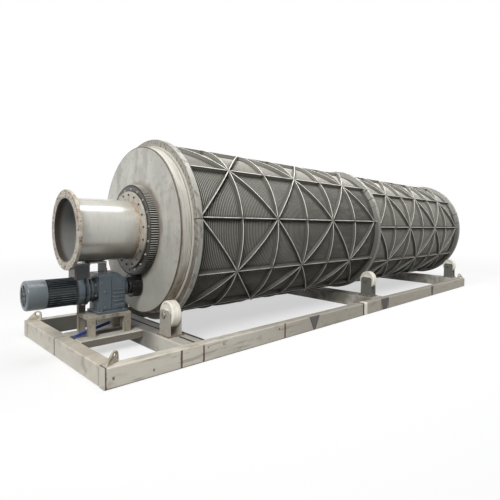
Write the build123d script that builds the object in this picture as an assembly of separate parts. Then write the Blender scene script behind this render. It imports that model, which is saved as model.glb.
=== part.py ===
from build123d import *
import math
import os

os.makedirs("parts", exist_ok=True)

# Rotary drum screen, row frame: +X from the inlet end to the tail, -Y towards the side seen in front,
# +Z up. Pieces are drawn with X = 0 at the base frame's front face and Y = 0 in the drum's middle plane,
# and are moved at the end so that the origin is the bottom centre of the whole machine.

# Base frame
frame_width = 2270.0
frame_tail_margin = 95.0
rail_height = 180.0
rail_width = 120.0
rail_wall = 8.0
rail_corner_radius = 14.0
cap_thickness = 8.0
cap_inset = 2.0
member_slot = 10.0
lug_base = 148.0
lug_eye_offset = 108.0
lug_eye_height = 66.0
lug_tip_radius = 34.0
lug_hole_radius = 19.0
lug_thickness = 20.0
lug_inset_x = 13.0
lug_inset_y = 27.0
lug_turn = 32.0

# Drum: the basket's radius sets the head's, the rings' and so the axis height over the cross members
basket_radius = 915.0
basket_wall = 24.0
ring_height = 85.0
ring_ground_gap = 53.0
ring_radius = basket_radius + ring_height
drum_axis_height = rail_height + ring_ground_gap + ring_radius
head_face_x = 750.0
head_plate_thickness = 14.0
head_shell_step = 12.0
head_shell_radius = basket_radius - head_shell_step
head_shell_wall = 14.0
head_ring_x = 869.0
head_ring_width = 56.0
lip_height = 23.0
lip_radius = head_shell_radius + lip_height
lip_width = 7.0
lip_seat_gap = 0.2
bay_count = 6
hoop_pitch = 500.0
mid_ring_width = 130.0
tail_ring_width = 140.0
bar_count = 10
bar_thickness = 10.0
rib_depth = 50.0
facets_per_bay = 3
rib_seat_gap = 0.2
brace_end_gap = 1.0
front_clocking = -9.0
rear_clocking = -3.6

# Inlet pipe, its flange and its mounting flange
inlet_face_x = 67.0
inlet_flange_thickness = 28.0
inlet_flange_width = 75.0
inlet_bolt_offset = 47.5
inlet_bolt_count = 20
inlet_bolt_radius = 15.0
pipe_radius = 315.0
pipe_wall = 8.0
pipe_reach_in = 60.0
mount_flange_thickness = 18.0
mount_flange_width = 97.0
mount_bolt_offset = 63.0
mount_bolt_count = 20
head_hole_clearance = 15.0

# Slewing bearing round the pipe with its outer gear ring, and the pinion
inner_ring_gap = 25.0
inner_ring_land = 78.0
inner_ring_bore = pipe_radius + inner_ring_gap
race_radius = inner_ring_bore + inner_ring_land
race_gap = 0.3
gear_ring_land = 62.0
gear_module = 8.0
gear_teeth = 2 * round((race_radius + gear_ring_land) / gear_module)
pinion_teeth = 30
pressure_angle = 20.0
tooth_backlash = 0.8
gear_face_width = 76.0
gear_seat_thickness = 10.0
gear_seat_land = 46.0
pinion_face_width = 88.0
pinion_lead = 8.0
collar_length = 30.0
collar_radius = 92.0
inner_ring_plate_gap = 8.0
inner_ring_lead = 6.0
gear_bolt_count = 18
gear_bolt_offset = 26.0

# Bolt heads
small_head_width = 30.0
small_head_height = 16.0

# Rollers: each pair's spread follows from its axles' height and from the radius that it runs on
roller_radius = 135.0
roller_width = 92.0
roller_groove_width = 5.0
roller_groove_depth = 4.0
roller_gap = 0.3
head_axle_rise = 218.0
ring_axle_rise = 260.0
axle_radius = 20.0
roller_bore_gap = 0.05
roller_bore_radius = axle_radius + roller_bore_gap
axle_seat_gap = 0.05
bracket_plate_thickness = 12.0
bracket_plate_foot = 212.0
bracket_plate_top = 196.0
bracket_top_rise = 44.0
bracket_corner_cut = 26.0
bracket_side_clearance = 4.0
bracket_base_thickness = 12.0
bracket_base_margin = 22.0
bracket_base_overhang = 15.0
axle_nut_width = 55.0
axle_nut_height = 22.0
head_roller_x = 798.0
head_members_offset = 27.0

# Drive: geared motor on a stand, straight below the drum's axis
drive_offset_y = 0.0
gearbox_shaft_height = 245.0
gearbox_front_x = 318.0
gearbox_length = 246.0
gearbox_width = 250.0
gearbox_head_height = 170.0
gearbox_shoulder = 75.0
gearbox_edge_radius = 40.0
output_cover_length = 36.0
output_cover_radius = 105.0
foot_plate_thickness = 26.0
foot_plate_overhang = 28.0
foot_bolt_width = 24.0
foot_bolt_inset = 20.0
adapter_length = 110.0
adapter_radius = 118.0
adapter_flange_radius = 150.0
adapter_flange_thickness = 26.0
shield_length = 74.0
shield_radius = 140.0
motor_length = 234.0
motor_core_radius = 118.0
motor_fin_radius = 136.0
motor_fin_count = 24
motor_fin_thickness = 5.0
cowl_length = 150.0
cowl_radius = 139.0
terminal_box_x = 122.0
terminal_box_length = 130.0
terminal_box_width = 170.0
terminal_box_base = 115.0
terminal_box_top = 252.0
terminal_lid_thickness = 18.0
terminal_lid_overhang = 4.0
terminal_seat_gap = 0.2
gland_radius = 14.0
gland_wall = 6.0
gland_length = 34.0
output_shaft_radius = 37.5
shaft_seat_gap = 0.05
shaft_start_gap = 0.3
stand_leg = 60.0
stand_plate_thickness = 20.0
stand_front_x = 215.0
stand_rear_x = 605.0
stand_leg_spacing_y = 270.0
stand_rail_height = 60.0
brace_rod_radius = 9.0
brace_rod_start_x = 133.0
brace_rod_top_share = 0.6
brace_rod_inset_y = 50.0
brace_rod_gap = 0.3


def drum_plane(x):
    """Plane across the drum at x: local x is +Y, local y is +Z, and it faces the tail."""
    return Plane(origin=(x, 0, drum_axis_height), x_dir=(0, 1, 0), z_dir=(1, 0, 0))


def shaft_plane(x, y, z):
    """The same plane with its origin on a shaft that runs along X at y, z."""
    return Plane(origin=(x, y, z), x_dir=(0, 1, 0), z_dir=(1, 0, 0))


def ring(x, length, outer, inner, y=0.0, z=drum_axis_height):
    """A plain ring, tube or disc about an axis along X, from x to x + length."""
    profile = Circle(outer)
    if inner > 0:
        profile -= Circle(inner)
    return extrude(shaft_plane(x, y, z) * profile, length)


def quarter_rings(x, length, outer, inner):
    """A ring about the drum's axis as it is rolled and welded, in four quarters with seams on Y and Z."""
    quarter = Pos(outer / 2, outer / 2) * Rectangle(outer, outer)
    profile = Circle(outer) - Circle(inner)
    return [extrude(drum_plane(x) * (profile & (Rot(0, 0, 90 * k) * quarter)), length) for k in range(4)]


def block(x0, x1, y0, y1, z0, z1):
    """A rectangular block between two corners."""
    return Pos(x0, y0, z0) * Box(x1 - x0, y1 - y0, z1 - z0, align=(Align.MIN, Align.MIN, Align.MIN))


def hex_heads(x, length, width, radius, count):
    """Hexagon bolt heads about the drum's axis, on a circle of this radius, from x to x + length."""
    heads = []
    for i in range(count):
        angle = math.radians(360.0 * i / count)
        plane = shaft_plane(x, radius * math.cos(angle), drum_axis_height + radius * math.sin(angle))
        heads.append(extrude(plane * RegularPolygon(width / 2, 6, major_radius=False), length))
    return heads


def box_tube(length, width, height, wall, corner):
    """Rectangular hollow section along +X from the origin, standing on Z = 0 and centred on Y = 0."""
    plane = Plane(origin=(0, 0, height / 2), x_dir=(0, 1, 0), z_dir=(1, 0, 0))
    profile = RectangleRounded(width, height, corner)
    profile -= Rectangle(width - 2 * wall, height - 2 * wall)
    return extrude(plane * profile, length)


pieces = {}


def keep(name, shape):
    """Remember a node's solids under its name."""
    solids = shape if isinstance(shape, list) else [shape]
    pieces[name] = [solid for item in solids for solid in item.solids()]


# The two baskets and the three rings follow each other along the drum, and the frame reaches past the last
mid_ring_x = head_ring_x + head_ring_width + bay_count * hoop_pitch
tail_ring_x = mid_ring_x + mid_ring_width + bay_count * hoop_pitch
mid_roller_x = mid_ring_x + mid_ring_width / 2
tail_roller_x = tail_ring_x + tail_ring_width / 2
frame_length = tail_roller_x + frame_tail_margin

# Base frame: two long rails with welded end caps, and cross members between them
inner_half = frame_width / 2 - rail_width
tube_length = frame_length - 2 * cap_thickness
rail = box_tube(tube_length, rail_width, rail_height, rail_wall, rail_corner_radius)
rail_y = frame_width / 2 - rail_width / 2
keep("near_rail", Pos(cap_thickness, -rail_y, 0) * rail)
keep("far_rail", Pos(cap_thickness, rail_y, 0) * rail)
cap_plane = Plane(origin=(0, 0, rail_height / 2), x_dir=(0, 1, 0), z_dir=(1, 0, 0))
cap_profile = RectangleRounded(rail_width - 2 * cap_inset, rail_height - 2 * cap_inset, rail_corner_radius)
cap = extrude(cap_plane * cap_profile, cap_thickness)
cap_spots = [(x, y) for x in (0, frame_length - cap_thickness) for y in (-rail_y, rail_y)]
keep("rail_end_caps", [Pos(x, y, 0) * cap for x, y in cap_spots])

cross_tube = box_tube(2 * inner_half, rail_width, rail_height, rail_wall, rail_corner_radius)
cross_tube = Rot(0, 0, 90) * cross_tube


def cross_member(x):
    """A cross member between the rails, centred on x."""
    return Pos(x, -inner_half, 0) * cross_tube


member_offset = (rail_width + member_slot) / 2
tail_member_x = frame_length - rail_width - member_slot / 2
keep("front_cross_member", cross_member(rail_width / 2))
head_members_x = head_roller_x + head_members_offset
keep("head_cross_members", [cross_member(head_members_x + side * member_offset) for side in (-1, 1)])
keep("mid_cross_members", [cross_member(mid_roller_x + side * member_offset) for side in (-1, 1)])
keep("tail_cross_members", [cross_member(tail_member_x + side * member_offset) for side in (-1, 1)])

beam_start = rail_width
beam_end = head_members_x - member_offset - rail_width / 2
drive_beam = box_tube(beam_end - beam_start, rail_width, rail_height, rail_wall, rail_corner_radius)
beam_y = [drive_offset_y + side * stand_leg_spacing_y / 2 for side in (-1, 1)]
keep("drive_beams", [Pos(beam_start, y, 0) * drive_beam for y in beam_y])

# Lifting lugs on the four corners, turned towards the sling and leaning with it
lug_eye = Pos(lug_eye_offset, lug_eye_height)
lug_profile = make_hull([Line((0, 0), (lug_base, 0)), (lug_eye * Circle(lug_tip_radius)).edge()])
lug_profile -= lug_eye * Circle(lug_hole_radius)


def lifting_lug(end, side):
    """A lug with its heel in one corner of the frame: end is -1 in front, side is -1 on the near side."""
    heel_x = lug_inset_x if end < 0 else frame_length - lug_inset_x
    heel = (heel_x, side * (frame_width / 2 - lug_inset_y), rail_height)
    along_x = -end * math.cos(math.radians(lug_turn))
    along_y = -side * math.sin(math.radians(lug_turn))
    plane = Plane(origin=heel, x_dir=(along_x, along_y, 0), z_dir=(along_y, -along_x, 0))
    return extrude(plane * lug_profile, lug_thickness / 2, both=True)


keep("lifting_lugs", [lifting_lug(end, side) for end in (-1, 1) for side in (-1, 1)])

# Drum head: a flat plate with the feed opening, a rolled shell that the head rollers carry,
# and the first large ring with a thin lip in front of it
head_hole_radius = pipe_radius + head_hole_clearance
shell_start = head_face_x + head_plate_thickness
keep("head_plate", ring(head_face_x, head_plate_thickness, head_shell_radius, head_hole_radius))
shell_inner = head_shell_radius - head_shell_wall
keep("head_shell", quarter_rings(shell_start, head_ring_x - shell_start, head_shell_radius, shell_inner))
head_ring = ring(head_ring_x, head_ring_width, ring_radius, shell_inner)
head_ring += ring(head_ring_x - lip_width, lip_width, lip_radius, head_shell_radius + lip_seat_gap)
keep("head_ring", head_ring)
ring_inner = basket_radius - basket_wall
keep("mid_riding_ring", ring(mid_ring_x, mid_ring_width, ring_radius, ring_inner))
keep("tail_riding_ring", ring(tail_ring_x, tail_ring_width, ring_radius, ring_inner))

# Screen baskets between the rings
section_length = bay_count * hoop_pitch
front_start = head_ring_x + head_ring_width
rear_start = mid_ring_x + mid_ring_width
keep("front_screen_basket", ring(front_start, section_length, basket_radius, ring_inner))
keep("rear_screen_basket", ring(rear_start, section_length, basket_radius, ring_inner))

# Stiffening lattice on each basket: flat bars on edge, along the drum, round it and on the diagonals.
# Round pieces are rolled from short flats, so their inner faces touch the basket in each flat's middle.
rib_inner = basket_radius + rib_seat_gap
rib_outer = rib_inner + rib_depth
bay_angle = 360.0 / bar_count
lattice_sides = bar_count * facets_per_bay


def bay_sectors(clocking):
    """The ribs' band in section, one many-sided sector for each bay, cut off at the lengthwise bars."""
    band = RegularPolygon(rib_outer, lattice_sides, major_radius=False)
    band -= RegularPolygon(rib_inner, lattice_sides, major_radius=False)
    bar = Pos(rib_outer, 0) * Rectangle(4 * rib_depth, bar_thickness)
    band -= [Rot(0, 0, i * bay_angle) * bar for i in range(bar_count)]
    return Rot(0, 0, clocking) * band


def long_bars(start, clocking):
    """Flat bars along the section, one on each bay edge."""
    bars = []
    for i in range(bar_count):
        turn = Rot(0, 0, clocking + i * bay_angle)
        middle = Pos((rib_inner + rib_outer) / 2, 0, section_length / 2)
        flat = Box(rib_depth, bar_thickness, section_length)
        bars.append(drum_plane(start).location * turn * middle * flat)
    return bars


def hoops(start, clocking):
    """Hoops at the hoop pitch, each welded in between the lengthwise bars."""
    sectors = bay_sectors(clocking)
    planes = [drum_plane(start + k * hoop_pitch - bar_thickness / 2) for k in range(1, bay_count)]
    return [extrude(plane * sectors, bar_thickness) for plane in planes]


def diagonal_braces(start, clocking):
    """One brace across each bay between two hoops, slanting the other way in the next bay.

    A brace is a radial flat cut by the bars beside it. Its ends stand just clear of the hoops,
    and the shift allows for the bar's side, which is further out at the brace's outer edge.
    """
    half_bay = math.radians(bay_angle / 2)
    side_reach = rib_outer * math.sin(half_bay) - bar_thickness / 2
    lean = math.atan2(side_reach, hoop_pitch / 2)
    end_shift = bar_thickness / 2 * (1 + 1 / math.sin(lean)) + brace_end_gap
    tilt = math.degrees(math.atan2(side_reach, hoop_pitch / 2 - end_shift))
    bay = extrude(bay_sectors(-bay_angle / 2).faces().sort_by(Axis.X)[-1], hoop_pitch)
    masters = {}
    for side in (-1, 1):
        slab = Box(4 * rib_depth, bar_thickness, 2 * hoop_pitch)
        slab = Pos(rib_outer, 0, hoop_pitch / 2) * Rot(-side * tilt, 0, 0) * slab
        masters[side] = bay & slab
    braces = []
    for i in range(bar_count):
        for k in range(bay_count):
            side = -1 if (i + k) % 2 == 0 else 1
            turn = Rot(0, 0, clocking + (i + 0.5) * bay_angle)
            braces.append(drum_plane(start + k * hoop_pitch).location * turn * masters[side])
    return braces


for place, start, clocking in (("front", front_start, front_clocking), ("rear", rear_start, rear_clocking)):
    keep(place + "_long_bars", long_bars(start, clocking))
    keep(place + "_hoops", hoops(start, clocking))
    keep(place + "_diagonal_braces", diagonal_braces(start, clocking))

# Slewing bearing: the toothed outer ring is bolted to the head plate, the inner ring to the inlet pipe
gear_pitch_radius = gear_module * gear_teeth / 2
pinion_pitch_radius = gear_module * pinion_teeth / 2
centre_distance = gear_pitch_radius + pinion_pitch_radius
pinion_y = drive_offset_y
pinion_z = drum_axis_height - math.sqrt(centre_distance ** 2 - pinion_y ** 2)
mesh_angle = math.degrees(math.atan2(pinion_z - drum_axis_height, pinion_y))


def involute_turn(radius, base):
    """Angle by which an involute has turned away from its root at this radius."""
    ratio = max(radius / base, 1.0)
    return math.sqrt(ratio ** 2 - 1) - math.acos(1 / ratio)


def gear_profile(teeth, flank_steps, first_tooth):
    """Outline of a spur gear whose tooth number 0 is centred on the angle first_tooth."""
    pitch = gear_module * teeth / 2
    base = pitch * math.cos(math.radians(pressure_angle))
    tip = pitch + gear_module
    root = pitch - 1.25 * gear_module
    half_at_pitch = (math.pi * gear_module / 2 - tooth_backlash) / 2 / pitch
    points = []
    for tooth in range(teeth):
        centre = math.radians(first_tooth) + 2 * math.pi * tooth / teeth
        for side in (-1, 1):
            steps = range(flank_steps + 1) if side < 0 else range(flank_steps, -1, -1)
            for step in steps:
                radius = root + (tip - root) * step / flank_steps
                half = half_at_pitch + involute_turn(pitch, base) - involute_turn(radius, base)
                angle = centre + side * half
                points.append((radius * math.cos(angle), radius * math.sin(angle)))
    return make_face(Polyline(*points, close=True))


gear_seat_x = head_face_x - gear_seat_thickness
gear_start = gear_seat_x - gear_face_width
gear_outline = gear_profile(gear_teeth, 1, mesh_angle) - Circle(race_radius + race_gap)
keep("slewing_gear_ring", extrude(drum_plane(gear_start) * gear_outline, gear_face_width))
gear_heads = hex_heads(gear_start - small_head_height, small_head_height, small_head_width,
                       race_radius + gear_bolt_offset, gear_bolt_count)
keep("gear_ring_bolts", gear_heads)
keep("gear_seat_ring", ring(gear_seat_x, gear_seat_thickness, race_radius + gear_seat_land,
                            race_radius + race_gap))
inner_start = gear_start - inner_ring_lead
inner_length = head_face_x - inner_ring_plate_gap - inner_start
keep("slewing_inner_ring", ring(inner_start, inner_length, race_radius, inner_ring_bore))

# Inlet: flanged pipe through the bearing and the head plate
mount_flange_start = inner_start - mount_flange_thickness
mount_flange_radius = pipe_radius + mount_flange_width
keep("pipe_mounting_flange", ring(mount_flange_start, mount_flange_thickness, mount_flange_radius,
                                  pipe_radius))
keep("mounting_flange_bolts", hex_heads(mount_flange_start - small_head_height, small_head_height,
                                        small_head_width, pipe_radius + mount_bolt_offset, mount_bolt_count))
pipe_end = head_face_x + head_plate_thickness + pipe_reach_in
pipe_inner = pipe_radius - pipe_wall
keep("inlet_pipe", ring(inlet_face_x, pipe_end - inlet_face_x, pipe_radius, pipe_inner))
flange_face = Circle(pipe_radius + inlet_flange_width) - Circle(pipe_radius)
flange_face -= PolarLocations(pipe_radius + inlet_bolt_offset, inlet_bolt_count) * Circle(inlet_bolt_radius)
keep("inlet_flange", extrude(drum_plane(inlet_face_x) * flange_face, inlet_flange_thickness))

# Drive pinion on the gearbox's output shaft
pinion_start = gear_start - pinion_lead
pinion_gap_angle = mesh_angle + 180.0 + 180.0 / pinion_teeth
pinion_outline = gear_profile(pinion_teeth, 3, pinion_gap_angle)
pinion_outline -= Circle(output_shaft_radius + shaft_seat_gap)
pinion_plane = shaft_plane(pinion_start, pinion_y, pinion_z)
keep("drive_pinion", extrude(pinion_plane * pinion_outline, pinion_face_width))
gearbox_rear_x = gearbox_front_x + gearbox_length
cover_end = gearbox_rear_x + output_cover_length
shaft_start = cover_end + shaft_start_gap
shaft_end = pinion_start + pinion_face_width
keep("output_shaft", ring(shaft_start, shaft_end - shaft_start, output_shaft_radius, 0, pinion_y, pinion_z))
collar_start = pinion_start - collar_length
collar_bore = output_shaft_radius + shaft_seat_gap
keep("pinion_collar", ring(collar_start, collar_length, collar_radius, collar_bore, pinion_y, pinion_z))

# Gearbox: a tall box with a sloping shoulder over the output end, rounded along its upper edges
shaft_z = pinion_z
stand_top = shaft_z - gearbox_shaft_height
half_width = gearbox_width / 2
foot_top = stand_top + foot_plate_thickness
head_top = shaft_z + gearbox_head_height
outline = Polyline((gearbox_front_x, foot_top), (gearbox_rear_x, foot_top),
                   (gearbox_rear_x, head_top - gearbox_shoulder),
                   (gearbox_rear_x - gearbox_shoulder, head_top), (gearbox_front_x, head_top), close=True)
gearbox_body = extrude(make_face(Plane.XZ * outline), gearbox_width, dir=(0, 1, 0))
gearbox_body = Pos(0, pinion_y - half_width, 0) * gearbox_body
upper_edges = gearbox_body.edges().filter_by(Axis.X).group_by(Axis.Z)[-1]
keep("gearbox_housing", fillet(upper_edges, gearbox_edge_radius))
foot_reach_x = foot_plate_overhang / 2
foot_reach_y = half_width + foot_plate_overhang
keep("gearbox_feet", block(gearbox_front_x - foot_reach_x, gearbox_rear_x + foot_reach_x,
                           pinion_y - foot_reach_y, pinion_y + foot_reach_y, stand_top, foot_top))
keep("gearbox_output_cover", ring(gearbox_rear_x, output_cover_length, output_cover_radius, 0,
                                  pinion_y, shaft_z))
foot_bolts = []
for x in (gearbox_front_x + foot_bolt_inset, gearbox_rear_x - foot_bolt_inset):
    for side in (-1, 1):
        y = pinion_y + side * (half_width + foot_plate_overhang / 2)
        seat = Plane(origin=(x, y, foot_top))
        foot_bolts.append(extrude(seat * RegularPolygon(foot_bolt_width / 2, 6, major_radius=False),
                                  small_head_height))
keep("gearbox_foot_bolts", foot_bolts)

# Motor with its adapter on the gearbox, end shield, fan cowl and terminal box
adapter_start = gearbox_front_x - adapter_length
adapter = ring(adapter_start, adapter_length, adapter_radius, 0, pinion_y, shaft_z)
adapter += ring(adapter_start, adapter_flange_thickness, adapter_flange_radius, 0, pinion_y, shaft_z)
adapter += ring(gearbox_front_x - adapter_flange_thickness, adapter_flange_thickness, half_width, 0,
                pinion_y, shaft_z)
keep("motor_adapter", adapter)
shield_start = adapter_start - shield_length
keep("motor_end_shield", ring(shield_start, shield_length, shield_radius, 0, pinion_y, shaft_z))
motor_start = shield_start - motor_length
fin_height = motor_fin_radius - motor_core_radius
fin = Pos(motor_core_radius, 0) * Rectangle(2 * fin_height, motor_fin_thickness)
fin_profile = Circle(motor_core_radius)
fin_profile += [Rot(0, 0, 360.0 * i / motor_fin_count) * fin for i in range(motor_fin_count)]
keep("motor_body", extrude(shaft_plane(motor_start, pinion_y, shaft_z) * fin_profile, motor_length))
cowl_start = motor_start - cowl_length
keep("motor_fan_cowl", ring(cowl_start, cowl_length, cowl_radius, 0, pinion_y, shaft_z))
box_end = terminal_box_x + terminal_box_length
box_y0 = pinion_y - terminal_box_width / 2
box_y1 = pinion_y + terminal_box_width / 2
lid_z0 = shaft_z + terminal_box_top
terminal_box = block(terminal_box_x, box_end, box_y0, box_y1, shaft_z + terminal_box_base, lid_z0)
terminal_box -= ring(adapter_start, box_end, adapter_flange_radius + terminal_seat_gap, 0, pinion_y, shaft_z)
terminal_box -= ring(0, adapter_start, shield_radius + terminal_seat_gap, 0, pinion_y, shaft_z)
keep("terminal_box", terminal_box)
keep("terminal_box_lid", block(terminal_box_x - terminal_lid_overhang, box_end + terminal_lid_overhang,
                               box_y0 - terminal_lid_overhang, box_y1 + terminal_lid_overhang,
                               lid_z0, lid_z0 + terminal_lid_thickness))
gland_x = terminal_box_x + terminal_box_length / 2
gland_z = (shaft_z + adapter_flange_radius + lid_z0) / 2
gland_plane = Plane(origin=(gland_x, box_y1, gland_z), x_dir=(1, 0, 0), z_dir=(0, 1, 0))
gland_profile = Circle(gland_radius + gland_wall) - Circle(gland_radius)
keep("cable_gland", extrude(gland_plane * gland_profile, gland_length))

# Stand under the gearbox, on the two drive beams
leg_y = [pinion_y + side * stand_leg_spacing_y / 2 for side in (-1, 1)]
leg_x = (stand_front_x + stand_leg / 2, stand_rear_x - stand_leg / 2)
half_leg = stand_leg / 2
plate_z0 = stand_top - stand_plate_thickness
rail_z0 = plate_z0 - stand_rail_height
legs = [block(x - half_leg, x + half_leg, y - half_leg, y + half_leg, rail_height, plate_z0)
        for x in leg_x for y in leg_y]
keep("stand_legs", legs)
keep("stand_plate", block(stand_front_x, stand_rear_x, leg_y[0] - half_leg, leg_y[1] + half_leg,
                          plate_z0, stand_top))
long_rails = [block(leg_x[0] + half_leg, leg_x[1] - half_leg, y - half_leg, y + half_leg, rail_z0, plate_z0)
              for y in leg_y]
cross_rails = [block(x - half_leg, x + half_leg, leg_y[0] + half_leg, leg_y[1] - half_leg, rail_z0, plate_z0)
               for x in leg_x]
keep("stand_rails", long_rails + cross_rails)

# A round bar slants up from the near drive beam to the far rear leg, which it meets below the stand's rails
rod_low_z = rail_height + brace_rod_radius + brace_rod_gap
rod_low = Vector(brace_rod_start_x, leg_y[0] + brace_rod_inset_y, rod_low_z)
rod_top_z = rail_height + brace_rod_top_share * (rail_z0 - rail_height)
rod_high = Vector(leg_x[1] - half_leg, leg_y[1], rod_top_z)
rod_run = rod_high - rod_low
rod_trim = brace_rod_radius * math.hypot(rod_run.Y, rod_run.Z) / rod_run.X + brace_rod_gap
rod_plane = Plane(origin=rod_low, z_dir=rod_run)
keep("stand_brace_rod", extrude(rod_plane * Circle(brace_rod_radius), rod_run.length - rod_trim))


# Roller stations: two rollers at each, between plates that stand on the cross members
def roller_spread(run_radius, axle_height):
    """Distance of a roller's axle from the drum's middle plane, for the radius that it runs on."""
    drop = drum_axis_height - axle_height
    return math.sqrt((run_radius + roller_radius + roller_gap) ** 2 - drop ** 2)


def grooved_roller(x, y, z):
    """A solid nylon roller with a narrow groove round the middle of its tread."""
    tyre = ring(x - roller_width / 2, roller_width, roller_radius, roller_bore_radius, y, z)
    groove_start = x - roller_groove_width / 2
    groove_floor = roller_radius - roller_groove_depth
    return tyre - ring(groove_start, roller_groove_width, 2 * roller_radius, groove_floor, y, z)


def bracket_plate(foot_drop):
    """A bracket's upright plate round its axle, with clipped upper corners and its feet this far below."""
    half_foot = bracket_plate_foot / 2
    half_top = bracket_plate_top / 2
    half_crest = half_top - bracket_corner_cut
    shoulder = bracket_top_rise - bracket_corner_cut
    outline = Polyline((-half_foot, -foot_drop), (half_foot, -foot_drop), (half_top, shoulder),
                       (half_crest, bracket_top_rise), (-half_crest, bracket_top_rise), (-half_top, shoulder),
                       close=True)
    return make_face(outline) - Circle(axle_radius + axle_seat_gap)


# Each station's place along the drum, the radius that its rollers run on and its axles' height
stations = {
    "head": (head_roller_x, head_shell_radius, rail_height + head_axle_rise),
    "mid": (mid_roller_x, ring_radius, rail_height + ring_axle_rise),
    "tail": (tail_roller_x, ring_radius, rail_height + ring_axle_rise),
}
half_gap = roller_width / 2 + bracket_side_clearance
base_half_x = half_gap + bracket_plate_thickness + bracket_base_margin
base_half_y = bracket_plate_foot / 2 + bracket_base_overhang
base_top = rail_height + bracket_base_thickness
nut_profile = RegularPolygon(axle_nut_width / 2, 6, major_radius=False)
axle_half = half_gap + bracket_plate_thickness
axles = []
axle_nuts = []
for station, (x, run_radius, axle_height) in stations.items():
    brackets = []
    plate_profile = bracket_plate(axle_height - base_top)
    for side, side_name in ((-1, "near"), (1, "far")):
        y = side * roller_spread(run_radius, axle_height)
        keep(station + "_" + side_name + "_roller", grooved_roller(x, y, axle_height))
        brackets.append(block(x - base_half_x, x + base_half_x, y - base_half_y, y + base_half_y,
                              rail_height, base_top))
        for plate_x in (x - axle_half, x + half_gap):
            plane = shaft_plane(plate_x, y, axle_height)
            brackets.append(extrude(plane * plate_profile, bracket_plate_thickness))
        axles.append(ring(x - axle_half, 2 * axle_half, axle_radius, 0, y, axle_height))
        for nut_x in (x - axle_half - axle_nut_height, x + axle_half):
            plane = shaft_plane(nut_x, y, axle_height)
            axle_nuts.append(extrude(plane * nut_profile, axle_nut_height))
    keep(station + "_roller_brackets", brackets)
keep("roller_axles", axles)
keep("roller_axle_nuts", axle_nuts)

# Move everything so that the origin is the bottom centre of the machine, and write the files
x_shift = -(frame_length + cowl_start) / 2
for name, solids in pieces.items():
    shape = solids[0] if len(solids) == 1 else Compound(children=solids)
    export_step(Pos(x_shift, 0, 0) * shape, "parts/" + name + ".step")
print("x_shift", x_shift, "pinion", pinion_y, pinion_z, "nodes", len(pieces))
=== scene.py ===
import math

import bpy
import numpy as np
from mathutils import Matrix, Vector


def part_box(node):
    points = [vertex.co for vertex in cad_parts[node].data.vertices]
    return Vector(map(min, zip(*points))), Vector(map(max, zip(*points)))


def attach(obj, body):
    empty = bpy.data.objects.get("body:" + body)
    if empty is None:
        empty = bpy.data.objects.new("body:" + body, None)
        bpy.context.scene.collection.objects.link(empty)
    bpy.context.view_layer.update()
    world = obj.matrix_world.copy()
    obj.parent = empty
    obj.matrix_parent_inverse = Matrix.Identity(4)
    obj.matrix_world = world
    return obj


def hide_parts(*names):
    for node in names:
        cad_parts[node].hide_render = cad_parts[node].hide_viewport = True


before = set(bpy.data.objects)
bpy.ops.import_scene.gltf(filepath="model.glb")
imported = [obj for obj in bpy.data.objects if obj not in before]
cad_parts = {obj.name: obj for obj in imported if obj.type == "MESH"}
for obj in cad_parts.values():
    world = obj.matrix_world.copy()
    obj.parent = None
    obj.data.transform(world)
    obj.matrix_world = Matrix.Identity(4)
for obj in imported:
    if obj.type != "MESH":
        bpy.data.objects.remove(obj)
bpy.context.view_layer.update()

# The skid is a welded frame of rectangular stainless hollow section, bead blasted once and since stained
# by grinding dust, weld heat and rain. Two rails run the whole length, and pairs of cross members stand
# under the rollers. It keeps the CAD solids, which have the section's rolled corners.
AXIS_Z = sum(corner.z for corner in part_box("mid_riding_ring")) / 2
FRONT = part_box("front_cross_member")[0].x
RAIL_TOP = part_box("near_rail")[1].z
RAIL_OUTER = -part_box("near_rail")[0].y


def adjusted(thing, **settings):
    """The thing, with several of its properties set."""
    for name, value in settings.items():
        setattr(thing, name, value)
    return thing


def add_node(tree, kind, inputs, output=0, **settings):
    """An output of a new shader node, whose inputs are plain values or other nodes' outputs."""
    node = adjusted(tree.nodes.new("ShaderNode" + kind), **settings)
    for socket, value in inputs.items():
        if isinstance(value, bpy.types.NodeSocket):
            tree.links.new(value, node.inputs[socket])
        else:
            node.inputs[socket].default_value = value
    return node.outputs[output]


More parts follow.
